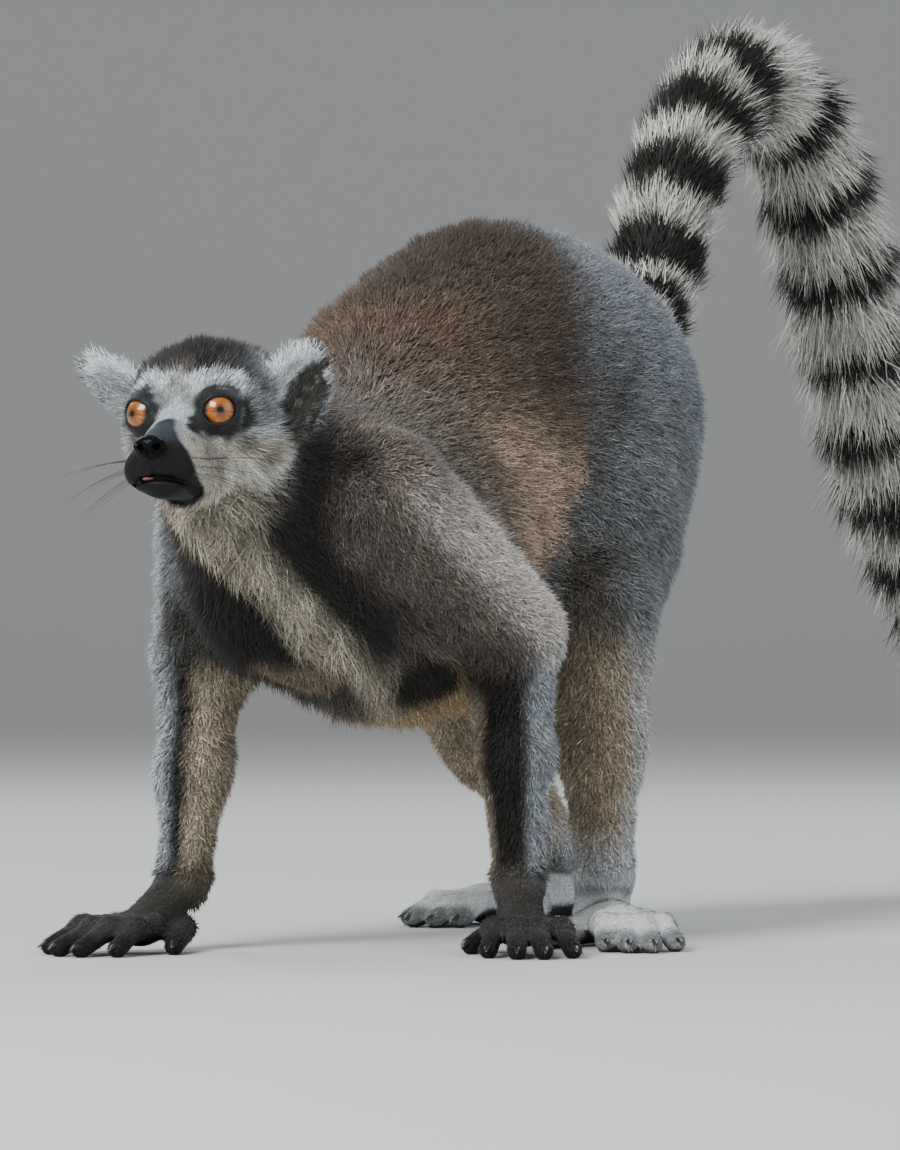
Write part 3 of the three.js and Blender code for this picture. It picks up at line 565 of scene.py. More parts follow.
BLACK_AT = [4.0, 6.4, 9.8, 13.1, 16.2, 21.4, 25.6, 29.4, 33.3, 36.9, 40.2, 43.5, 46.9, 50.2]
GAIN = 1.5                       # what the coat loses in its own shade is given back here


def ring(s):
    """1 where the tail is black."""
    b = np.zeros(len(s))
    for k, c in enumerate(BLACK_AT):
        w = (.55, .95, 1.08, 1.05, 1.0, .85, .78)[min(k, 6)]
        b = np.maximum(b, step(w + .2, w - .2, np.abs(s - c)))
    return np.maximum(b, step(TAIL_LEN - 3.2, TAIL_LEN - 2.6, s))


# arm is a painted highlight and edge a painted bluish rim light on the limbs; the muzzle bridge colour is a painted
# bluish sky reflection; the rump's blue tint is painted sky light on a grey coat
PAL = dict(
    back=lin(51, 45, 39), rufous=lin(80, 65, 54), orange=lin(168, 148, 128), dusk=lin(52, 45, 40), flank=lin(80, 68, 58), rump=lin(103, 108, 114),
    thigh_front=lin(49, 45, 40), thigh=lin(98, 102, 105), shoulder=lin(92, 87, 83), brown=lin(92, 85, 80), arm=lin(172, 166, 160), dark=lin(30, 29, 28), char=lin(17, 16, 16),
    bib=lin(156, 150, 134), belly=lin(147, 128, 96), lobe1=lin(96, 86, 73), lobe2=lin(26, 24, 22), beige=lin(142, 133, 114),
    fore=lin(17, 16, 15), edge=lin(136, 142, 148), upper_r=lin(56, 53, 50), shank=lin(142, 130, 111), shank_edge=lin(160, 161, 157),
    hand=lin(46, 45, 43), foot=lin(204, 209, 212), pad=lin(14, 13, 13), tail_w=lin(166, 166, 160), tail_b=lin(15, 13, 11),
    cap=lin(26, 25, 25), white=lin(156, 165, 169), cheek=lin(162, 159, 148), smudge=lin(84, 79, 71), muzzle=lin(15, 16, 19), bridge=lin(48, 57, 66), temple=lin(66, 66, 64), cheek_w=lin(178, 177, 168),
    nose=lin(3, 3, 4), ear_in=lin(46, 45, 43), ear_w=lin(180, 188, 194), patch=lin(12, 12, 11),
)


def tint(P, N, W, L, s):
    """Coat and skin colour from place alone: P body axes, N outward, W group weights, L head axes, s tail length."""
    x, y, z = P.T
    nx, ny, nz = N.T
    p = PAL
    n = len(P)
    wob = noise3(P, .35, 31) * .35
    ax_ = np.abs(x)
    # trunk: rufous shoulders and rear flank, brown back, grey rump behind a line from the loins to the knee, its blue
    # tint a painted sky light
    c = np.tile(p["back"], (n, 1))
    c = mix(c, p["flank"], step(.2, .8, np.abs(nx)))
    d1 = np.sqrt(((ax_ - 1.2) / 3.4) ** 2 + ((y - 2.4) / 3.4) ** 2 + ((z - 23.2) / 2.4) ** 2)
    rufous = step(1.35, .2, d1 + wob * .8) * .8
    line = np.array([(5.3, 4.6, 21.6), (6.1, 6.3, 18.4), (6.1, 6.0, 15.4)])
    d2 = np.full(n, 9.0)
    q = np.stack([ax_, y, z], 1)
    for a_, b_ in zip(line[:-1], line[1:]):
        t = np.clip(((q - a_) @ (b_ - a_)) / ((b_ - a_) @ (b_ - a_)), 0, 1)
        d2 = np.minimum(d2, np.linalg.norm(q - a_ - t[:, None] * (b_ - a_), axis=1))
    c = mix(c, p["orange"], step(3.6, -.6, d2 + wob * 1.8) * step(22.5, 16.5, z) * .95)
    c = mix(c, p["dusk"], step(2.5, 7.5, y + wob) * step(19.0, 22.5, z) * .75)
    yl = np.interp(z, [10, 13.2, 14.5, 17.5, 20.9, 24.8, 27.2], [3.0, 5.6, 6.8, 8.5, 9.5, 10.8, 12.2])
    rump = step(np.interp(z, [18, 25], [-.55, -2.0]), np.interp(z, [18, 25], [.75, 2.2]), y - yl + wob)
    # grey rump coat; its bluish tint is painted sky light
    c = mix(c, p["rump"], rump)
    c = mix(c, p["thigh_front"], rump * step(5.6, 1.0, y - yl) * step(25.5, 20.0, z) * .85)
    c = mix(c, p["shoulder"], step(4.6, .8, y + .25 * (z - 20)) * .9)
    c = mix(c, p["rufous"], rufous * (1 - rump))
    under = step(-.35, -.75, nz)
    c = mix(c, p["belly"], under * step(1.0, 4.0, y))
    # charcoal throat sides and breast, round a white bib
    front = step(2.4, -2.2, y + .10 * (z - 15) + wob)
    c = mix(c, p["char"], front * step(21.6, 18.0, z + .25 * (y + 4)) * .97)
    cx = np.interp(z, [9.9, 11.4, 12, 13.4, 14.8, 16.2, 18], [1.6, 2.0, 2.0, 1.55, .85, .3, .15])
    hw_ = np.interp(z, [9.9, 11.4, 12, 13.4, 14.8, 16.2, 18], [.40, .50, .6, .78, 1.0, 1.45, 2.1]) + wob * .5
    bib = step(hw_ + .40, hw_ - .35, np.abs(x - cx)) * step(3.0, .8, y) * step(.5, .1, nz)
    # painted shade: grey streaks between the clumps of the bib
    bib = bib * (1 - .40 * step(.1, .75, noise3(P * np.array([1, .5, .35]), .9, 61)))
    l1 = np.sqrt(((x - .1) / 1.7) ** 2 + ((y + 2.4) / 1.8) ** 2 + ((z - 10.4) / 1.5) ** 2)
    l2 = np.sqrt(((x - 3.1) / 1.3) ** 2 + ((y - 1.7) / 1.7) ** 2 + ((z - 10.3) / 1.6) ** 2)
    # painted shade: in a row of blobs along the fold under the chin and down between cheek and neck, the bib gives way
    # to the dark colour beneath
    for c_, r_ in (((.7, -9.4, 16.5), .6), ((1.0, -8.8, 16.1), .6), ((1.5, -8.2, 15.8), .65), ((2.3, -7.0, 15.7), .8)):
        bib = bib * (1 - .8 * step(1.3, .3, np.linalg.norm(P - np.array(c_), axis=1) / r_ + wob * .6))
    bib = bib * (1 - .95 * step(1.25, .95, l1)) * (1 - .8 * step(1.1, .8, l2))
    trunkish = np.clip(W[:, GI["trunk"]] + W[:, GI["neck"]] + W[:, GI["arm_left"]] * .8, 0, 1)
    # arms
    for nm, s_ in (("arm_left", 1), ("arm_right", -1)):
        w = W[:, GI[nm]]
        out = nx * s_
        qn = .85 * out + .53 * ny
        # painted highlight: the upper arm's outward, backward and upward-facing side is painted pale, as if lit
        k = mix(np.tile(p["brown"], (n, 1)), p["arm"], step(.12, .80, qn + .3 * nz) * step(18.5, 15.5, z))
        if s_ < 0:
            # painted rim light: the right arm's outer side is painted bluish pale
            k = mix(np.tile(p["upper_r"], (n, 1)), p["edge"], step(.25, .80, out))
        k = mix(k, p["char"], step(.20, -.50, qn + wob * .3) * step(10.5, 12.5, z) * (.92 if s_ > 0 else .6))
        # painted rim light: the forearm's outer and back side is painted bluish pale against the dark forearm
        lo = mix(np.tile(p["fore"], (n, 1)), p["edge"], step(.05, .70, qn) if s_ > 0 else step(-.15, .45, out))
        k = mix(k, lo, step(12.4, 9.6, z))
        k = mix(k, p["beige"], step(.15, .7, -out) * step(14.5, 12.0, z) * (.9 if s_ < 0 else .6))
        c = mix(c, k, w * (1 if s_ > 0 else 1))
    c = mix(c, p["bib"], bib * trunkish)
    c = mix(c, p["lobe1"], step(1.2, .85, l1) * trunkish * step(.0, -.4, nz + .4 * ny))
    c = mix(c, p["lobe2"], step(1.15, .8, l2) * trunkish * step(.1, -.4, nz + .2 * ny))
    # legs
    for nm, s_ in (("leg_left", 1), ("leg_right", -1)):
        w = W[:, GI[nm]]
        out = nx * s_
        qn = .85 * out + .53 * ny
        k = mix(np.tile(p["thigh_front"], (n, 1)), p["thigh"], step(.0, .85, qn + wob * .4))
        lo = mix(np.tile(p["shank"], (n, 1)), p["shank_edge"], step(.3, .9, qn))
        k = mix(k, lo, step(13.0, 9.5, z))
        k = mix(k, p["beige"], step(.15, .7, -out) * .8)
        k = mix(k, p["foot"], step(5.0, 2.4, z) * .75)
        c = mix(c, k, w)
    for nm in ("hand_left", "hand_right", "foot_left", "foot_right"):
        w = W[:, GI[nm]]
        k = np.tile(p["hand"] if nm.startswith("hand") else p["foot"], (n, 1))
        tip = np.zeros(n)
        for d_nm, k1, k2, r_, th_ in DIGITS:
            if d_nm == nm:
                tip = np.maximum(tip, step(1.0, .3, np.linalg.norm(P - k2, axis=1)))
        k = mix(k, p["pad"], np.maximum(step(-.15, -.6, nz) * .95, tip * (.75 if nm.startswith("foot") else .85)))
        c = mix(c, k, w)
    # tail
    k = mix(np.tile(p["tail_w"], (n, 1)), p["tail_b"], ring(s + .25 * noise3(P, .5, 41)))
    k = mix(k, p["rump"], step(3.0, 1.4, s))
    c = mix(c, k, W[:, GI["tail"]])
    # head: a dark spiky-edged cap over a pale face
    a, f, u = L.T
    aa = np.abs(a)
    jag = noise3(P, 1.6, 51) * .10
    k = np.tile(p["white"], (n, 1))
    k = mix(k, p["cheek"], step(-1.2, -2.0, u))
    k = mix(k, p["cheek_w"], step(-1.9, -2.6, u) * step(2.2, 1.2, f))

    def near(pts, r0, r1):
        """1 within r0 of a line of places on the face, 0 beyond r1."""
        d = np.full(n, 9.0)
        q = np.stack([aa, f, u], 1)
        for a_, b_ in zip(pts[:-1], pts[1:]):
            a_, b_ = np.array(a_), np.array(b_)
            t = np.clip(((q - a_) @ (b_ - a_)) / ((b_ - a_) @ (b_ - a_)), 0, 1)
            d = np.minimum(d, np.linalg.norm(q - a_ - t[:, None] * (b_ - a_), axis=1))
        return step(r1, r0, d + jag)
    k = mix(k, p["temple"], near([(1.1, 3.7, -1.7), (1.36, 3.2, -2.3), (1.46, 2.4, -2.85)], .05, .72) * .55)
    k = mix(k, p["smudge"], near([(2.05, 2.1, -1.8), (2.36, 1.65, -2.1), (2.5, 1.1, -2.45)], .15, .65) * .75)
    k = mix(k, p["temple"], step(1.95, 2.45, aa + jag) * step(-1.75, -1.0, u) * .8)
    # painted shade: grey in the hollow between each eye and the bridge of the nose
    k = mix(k, p["temple"], near([(.35, 3.05, -.30), (.9, 3.0, -.62)], .08, .42) * .6)
    edge = np.interp(aa, [0, .7, 1.05, 1.47, 2.24, 2.67, 2.9], [.58, .66, .70, .60, .19, -.35, -.95]) + jag
    cap = step(-.14, .14, u - edge)
    cap = np.maximum(cap, step(.9, .2, f + .2 * (u + .5)) * step(-1.5, -.9, u + .25 * (f + 1)))
    k = mix(k, p["cap"], cap)
    k = mix(k, p["char"], step(-1.6, -2.6, f + .55 * (u + 1.7)))
    k = mix(k, p["bib"], step(-2.9, -3.5, u) * .6)
    # a grey streak up from between the eyes
    k = mix(k, p["smudge"], step(.66, .10, np.abs(a + .2)) * step(-.6, .35, u) * step(1.15, .8, u) * step(1.1, 1.9, f) * .55)
    k = mix(k, p["cap"], step(.15, .8, noise3(L, 1.3, 57)) * step(-1.2, -.2, u) * .35)
    # black patches round the eyes, drawn down towards the muzzle
    d = np.sqrt(((aa - 1.46) / .86) ** 2 + ((u + .77) / .97) ** 2)
    d = np.minimum(d, np.sqrt(((aa - 1.02) / .36) ** 2 + ((u + 1.22) / .38) ** 2) + .1)
    k = mix(k, p["patch"], step(1.20, .84, d + jag * 1.2) * step(1.0, 1.5, f) * .97)
    # bare dark muzzle and lips
    fb = np.interp(u, [-4.2, -3.85, -3.57, -3.28, -2.98, -2.45, -1.92, -1.31, -1.12, -.9], [2.7, 2.3, 2.6, 3.9, 4.70, 4.95, 5.05, 4.75, 4.40, 4.4])
    k = mix(k, p["muzzle"], step(-.16, .14, f - fb + .38 * step(.75, 0, aa) + jag * .5))
    # painted reflection: the upward-facing top of the muzzle bridge is tinted bluish grey, as if it reflected the sky
    k = mix(k, p["bridge"], step(3.9, 4.4, f) * step(.35, .95, N @ HF[2]) * step(-2.1, -1.7, u) * .6)
    dn_ = np.sqrt((a / .66) ** 2 + ((f - 6.05) / .55) ** 2 + ((u + 2.05) / .48) ** 2)
    k = mix(k, p["nose"], step(1.12, .95, dn_))
    lip = np.interp(f, [2.6, 3.3, 4.2, 5.1, 5.6], [-3.70, -3.62, -3.50, -3.34, -3.16])
    k = mix(k, p["nose"], step(.16, .06, np.abs(u - lip)) * step(2.2, 2.8, f))
    c = mix(c, k, np.clip(W[:, GI["head"]], 0, 1))
    for nm, s_ in (("ear_left", 1), ("ear_right", -1)):
        ec, R, r = ear_axes(s_)
        e = (L - ec) @ R
        e_in = e[:, 1] * s_
        frontish = step(-.25, .10, (N @ HF.T) @ R[:, 2])
        bound_ = np.interp(e[:, 0], [-1.9, -1.5, -.5, .75, 1.6], [.45, .50, .40, .08, -.42]) + jag
        rim = np.sqrt((e[:, 0] / r[0]) ** 2 + (e[:, 1] / r[1]) ** 2)
        dk = frontish * step(.14, -.14, e_in - bound_) * step(.92, .78, rim + jag - .18 * step(-.4, -1.3, e[:, 0]))
        k = mix(np.tile(p["ear_in"], (n, 1)), p["temple"] * 1.6, step(.2, .9, noise3(P, 2.6, 71)) * .7)
        k = mix(np.tile(p["ear_w"], (n, 1)), k, dk * (1.0 if s_ > 0 else .6))
        c = mix(c, k, W[:, GI[nm]])
    return np.clip(c * GAIN, .002, .95)


WG = np.exp(-np.clip(GV - GV.min(1, keepdims=True), 0, 20) / .28)
WG /= WG.sum(1, keepdims=True)
ARC = np.zeros(len(SV))
near = GV[:, GI["tail"]] < 1.5
ARC[near] = arc_of(SV[near])
SC = tint(SV, SN, WG, HL, ARC)
print("markings", round(time.time() - t0, 1), "s")


# ------------------------------------------------------------------ mesh helpers
def outward(V, fc):
    """The same closed form with its faces turned outwards."""
    a, b, c = V[fc[:, 0]], V[fc[:, 1]], V[fc[:, 2]]
    return fc if (a * np.cross(b, c)).sum() > 0 else fc[:, ::-1]


def make_mesh(name, V, faces, mats=(), smooth=True):
    """faces is (n, 3) or (n, 4); V in body centimetres."""
    me = bpy.data.meshes.new(name)
    V = to_m(V).astype(F)
    nf, m = faces.shape
    me.vertices.add(len(V))
    me.vertices.foreach_set("co", V.ravel())
    me.loops.add(nf * m)
    me.loops.foreach_set("vertex_index", faces.astype(np.int32).ravel())
    me.polygons.add(nf)
    me.polygons.foreach_set("loop_start", np.arange(0, nf * m, m, dtype=np.int32))
    try:
        me.polygons.foreach_set("loop_total", np.full(nf, m, np.int32))
    except Exception:
        pass
    me.update(calc_edges=True)
    me.polygons.foreach_set("use_smooth", np.full(nf, smooth, bool))
    for mt in mats:
        me.materials.append(mt)
    ob = bpy.data.objects.new(name, me)
    bpy.context.scene.collection.objects.link(ob)
    return ob


def add_col(ob, name, rgb):
    a = ob.data.attributes.new(name, "FLOAT_COLOR", "POINT")
    buf = np.ones((len(rgb), 4), F)
    buf[:, :3] = rgb
    a.data.foreach_set("color", buf.ravel())


def add_val(ob, name, v):
    a = ob.data.attributes.new(name, "FLOAT", "POINT")
    a.data.foreach_set("value", np.asarray(v, F))


def add_vec(ob, name, v):
    a = ob.data.attributes.new(name, "FLOAT_VECTOR", "POINT")
    a.data.foreach_set("vector", np.asarray(v, F).ravel())


# ------------------------------------------------------------------ materials
def new_mat(name):
    m = bpy.data.materials.new(name)
    m.use_nodes = True
    nt = m.node_tree
    nt.nodes.clear()
    o = nt.nodes.new("ShaderNodeOutputMaterial")
    b = nt.nodes.new("ShaderNodeBsdfPrincipled")
    nt.links.new(b.outputs[0], o.inputs[0])
    return m, nt, b


def nd(nt, t, **kw):
    n = nt.nodes.new(t)
    for k, v in kw.items():
        if k in n.inputs:
            n.inputs[k].default_value = v
        else:
            setattr(n, k, v)
    return n


def ramp(nt, src, stops):
    r = nt.nodes.new("ShaderNodeValToRGB")
    el = r.color_ramp.elements
    while len(el) < len(stops):
        el.new(.5)
    for e, (p, c) in zip(el, stops):
        e.position = p
        e.color = (*c, 1) if len(c) == 3 else c
    nt.links.new(src, r.inputs[0])
    return r.outputs[0]


def mixc(nt, kind, fac, a, b):
    m = nt.nodes.new("ShaderNodeMix")
    m.data_type = "RGBA"
    m.blend_type = kind
    ins = [s for s in m.inputs if s.enabled or True]
    f_, a_, b_ = m.inputs[0], m.inputs[6], m.inputs[7]
    for sock, v in ((f_, fac), (a_, a), (b_, b)):
        if isinstance(v, (int, float)):
            sock.default_value = v
        elif isinstance(v, tuple):
            sock.default_value = (*v, 1)
        else:
            nt.links.new(v, sock)
    return m.outputs[2]


def fur_mat(name, speck=.6, scale=900, rough=.62, sheen=.10):
    m, nt, b = new_mat(name)
    at = nd(nt, "ShaderNodeAttribute", attribute_name="tone")
    tc_ = nd(nt, "ShaderNodeTexCoord")
    n1 = nd(nt, "ShaderNodeTexNoise", Scale=float(scale), Detail=2.0, Roughness=.6)
    n2 = nd(nt, "ShaderNodeTexNoise", Scale=float(scale) / 14, Detail=3.0, Roughness=.6)
    nt.links.new(tc_.outputs["Object"], n1.inputs["Vector"])
    nt.links.new(tc_.outputs["Object"], n2.inputs["Vector"])
    lo, hi = 1 - speck, 1 + speck * .6
    r1 = ramp(nt, n1.outputs["Fac"], [(.34, (lo, lo, lo)), (.66, (hi, hi, hi))])
    r2 = ramp(nt, n2.outputs["Fac"], [(.3, (.84, .83, .82)), (.7, (1.12, 1.12, 1.12))])
    c = mixc(nt, "MULTIPLY", 1.0, at.outputs["Color"], r1)
    c = mixc(nt, "MULTIPLY", 1.0, c, r2)
    nt.links.new(c, b.inputs["Base Color"])
    b.inputs["Roughness"].default_value = rough
    b.inputs["Specular IOR Level"].default_value = .22
    b.inputs["Sheen Weight"].default_value = sheen
    b.inputs["Sheen Roughness"].default_value = .5
    return m


def skin_mat():
    m, nt, b = new_mat("skin")
    at = nd(nt, "ShaderNodeAttribute", attribute_name="tone")
    wet = nd(nt, "ShaderNodeAttribute", attribute_name="wet")
    tc_ = nd(nt, "ShaderNodeTexCoord")
    n1 = nd(nt, "ShaderNodeTexNoise", Scale=1100.0, Detail=3.0, Roughness=.65)
    n2 = nd(nt, "ShaderNodeTexVoronoi", Scale=1300.0)
    nt.links.new(tc_.outputs["Object"], n1.inputs["Vector"])
    nt.links.new(tc_.outputs["Object"], n2.inputs["Vector"])
    r1 = ramp(nt, n1.outputs["Fac"], [(.32, (.55, .55, .55)), (.68, (1, 1, 1))])
    c = mixc(nt, "MULTIPLY", 1.0, at.outputs["Color"], r1)
    nt.links.new(c, b.inputs["Base Color"])
    mr = nd(nt, "ShaderNodeMapRange")
    nt.links.new(wet.outputs["Fac"], mr.inputs["Value"])
    mr.inputs["To Min"].default_value = .72
    mr.inputs["To Max"].default_value = .34
    b.inputs["Specular IOR Level"].default_value = .18
    nt.links.new(mr.outputs["Result"], b.inputs["Roughness"])
    add = nd(nt, "ShaderNodeMath", operation="ADD")
    nt.links.new(n1.outputs["Fac"], add.inputs[0])
    nt.links.new(n2.outputs["Distance"], add.inputs[1])
    bp = nd(nt, "ShaderNodeBump", Strength=.45, Distance=.0004)
    nt.links.new(add.outputs[0], bp.inputs["Height"])
    nt.links.new(bp.outputs[0], b.inputs["Normal"])
    return m


M_SKIN = skin_mat()
M_NOSE, _nt, _b = new_mat("nose_leather")
_tc = nd(_nt, "ShaderNodeTexCoord")
_nz = nd(_nt, "ShaderNodeTexVoronoi", Scale=1500.0)
_nt.links.new(_tc.outputs["Object"], _nz.inputs["Vector"])
_nt.links.new(ramp(_nt, _nz.outputs["Distance"], [(.1, (.0012, .0012, .0016)), (.7, (.006, .006, .007))]), _b.inputs["Base Color"])
_bp = nd(_nt, "ShaderNodeBump", Strength=.25, Distance=.0003)
_nt.links.new(_nz.outputs["Distance"], _bp.inputs["Height"])
_nt.links.new(_bp.outputs[0], _b.inputs["Normal"])
_b.inputs["Roughness"].default_value = .18
_b.inputs["Specular IOR Level"].default_value = .05
M_FUR = fur_mat("coat_short")
M_FACE = fur_mat("coat_face", speck=.35, scale=1300)
M_TAIL = fur_mat("coat_tail", speck=.3, scale=700, rough=.55)

skin = make_mesh("skin", SV, SQ, [M_SKIN, M_NOSE])
add_col(skin, "tone", SC * .75)
dn = np.sqrt((HL[:, 0] / .60) ** 2 + ((HL[:, 1] - 6.05) / .50) ** 2 + ((HL[:, 2] + 2.05) / .44) ** 2)
wet = step(1.15, .95, dn)
skin.data.polygons.foreach_set("material_index", (dn[SQ].mean(1) < 1.05).astype(np.int32))
for s in (1, -1):
    wet = np.maximum(wet, step(.16, .06, np.abs(np.linalg.norm(HL - np.array(EYE[s]), axis=1) - EYE_R)) * .6)
wet = np.maximum(wet, .5 * step(-.1, .2, HL[:, 1] - np.interp(HL[:, 2], [-4.0, -3.35, -3.0, -1.9, -1.05], [3.6, 4.0, 4.6, 4.8, 4.3])) * (GV[:, GI["head"]] < .3))
add_val(skin, "wet", wet)
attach(skin, "root")
flesh = [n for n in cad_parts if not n.startswith("eye")]
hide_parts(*flesh)

# ------------------------------------------------------------------ coat
Tri = np.concatenate([SQ[:, [0, 1, 2]], SQ[:, [0, 2, 3]]])
area = np.linalg.norm(np.cross(SV[Tri[:, 1]] - SV[Tri[:, 0]], SV[Tri[:, 2]] - SV[Tri[:, 0]]), axis=1) / 2
TC = SV[Tri].mean(1)
TG = GID[Tri[:, 0]]
TL = local(TC)
TNZ = rows(SN[Tri].mean(1))
# inside the eye's opening, the mouth, the nostrils and on the nose pad there is no coat
bare = np.zeros(len(Tri), bool)
for s in (1, -1):
    c = np.array(EYE[s])
    rr = np.linalg.norm(TL - c, axis=1)
    th = ((TL - c) / rr[:, None]) @ EYE_AX[s]
    bare |= (rr < EYE_R + .22) & (th > .70)
bare |= (((TL[:, 0] / .62) ** 2 + ((TL[:, 1] - 6.05) / .52) ** 2 + ((TL[:, 2] + 2.05) / .46) ** 2) < 1.0)
bare |= (TC[:, 2] < .35) & (TNZ[:, 2] < -.3)
mouth_zone = (np.abs(TL[:, 0]) < 1.2) & (TL[:, 1] > 2.6) & (np.abs(TL[:, 2] - np.interp(TL[:, 1], [2.6, 3.3, 4.2, 5.1, 5.6], [-3.70, -3.62, -3.50, -3.34, -3.16])) < .15)

UVREG = {}


def sample(mask, dens):
    """Evenly spread points on the chosen triangles; dens is per square centimetre and triangle."""
    idx = np.flatnonzero(mask)
    w = area[idx] * dens[idx]
    cum = np.cumsum(w)
    n = int(cum[-1])
    if n < 1:
        return None
    u = (np.arange(n) + rng.random(n)) / n * cum[-1]
    t = idx[np.minimum(np.searchsorted(cum, u), len(idx) - 1)]
    a, b = rng.random(n), rng.random(n)
    fl = a + b > 1
    a[fl], b[fl] = 1 - a[fl], 1 - b[fl]
    bw = np.stack([1 - a - b, a, b], 1)
    tri = Tri[t]

    def at(A):
        return (A[tri] * bw.reshape(n, 3, *([1] * (A.ndim - 1)))).sum(1)
    return at


def unwrap(P, kind, par=None):
    """Places on an unwrap of the skin's own shape: round the part, and along it."""
    if kind == "tail":
        s = arc_of(P)
        j = np.clip(np.searchsorted(ts, s) - 1, 0, len(tc) - 2)
        t = rows(tc[j + 1] - tc[j])
        side = np.tile([1.0, 0, 0], (len(P), 1))
        up = np.cross(side, t)
        q = P - tc[j]
        return np.stack([np.arctan2((q * side).sum(1), (q * up).sum(1)) / (2 * np.pi) + .5, s / TAIL_LEN], 1)
    if kind == "head":
        q = rows(local(P) - np.array([0, 1.0, -1.2]))
        return np.stack([np.arctan2(q[:, 0], q[:, 1]) / (2 * np.pi) + .5, np.arcsin(np.clip(q[:, 2], -1, 1)) / np.pi + .5], 1)
    if kind == "ear":
        c, R, r = ear_axes(par)
        e = (local(P) - c) @ R
        front = e[:, 2] > -.02
        u = np.clip(e[:, 1] / (2.4 * r[1]) + .5, 0, 1) * .48
        return np.stack([u + np.where(front, .5, .01), np.clip(e[:, 0] / (2.6 * r[0]) + .5, 0, 1)], 1)
    if kind == "paw":
        w, = par
        front = P[:, 2] > .95
        q = (P[:, :2] - np.array(w)[:2]) / 24
        return np.stack([np.clip(q[:, 0] * 1.0 + .25, 0, .495) + np.where(front, .5, 0), np.clip(q[:, 1] + .62, 0, 1)], 1)
    chain = np.array(par, float)
    seg = np.diff(chain, axis=0)
    ln = np.linalg.norm(seg, axis=1)
    cum = np.r_[0, np.cumsum(ln)]
    best = np.full(len(P), 1e9)
    v, ang = np.zeros(len(P)), np.zeros(len(P))
    for k in range(len(seg)):
        t = ((P - chain[k]) @ seg[k]) / ln[k] ** 2
        lo_, hi_ = (-.8 if k == 0 else 0), (1.8 if k == len(seg) - 1 else 1)
        tt = np.clip(t, lo_, hi_)
        d = P - (chain[k] + tt[:, None] * seg[k])
        dd = np.linalg.norm(d, axis=1)
        m = dd < best
        best[m] = dd[m]
        ax = unit(seg[k])
        e1 = unit(np.cross(ax, (1, 0, 0) if abs(ax[0]) < .8 else (0, 1, 0)))
        e2 = np.cross(ax, e1)
        v[m] = (cum[k] + tt * ln[k])[m]
        ang[m] = np.arctan2(d @ e1, d @ e2)[m]
    v = (v - v.min()) / max(np.ptp(v), 1e-6)
    return np.stack([ang / (2 * np.pi) + .5, v], 1)


TOTAL = [0]


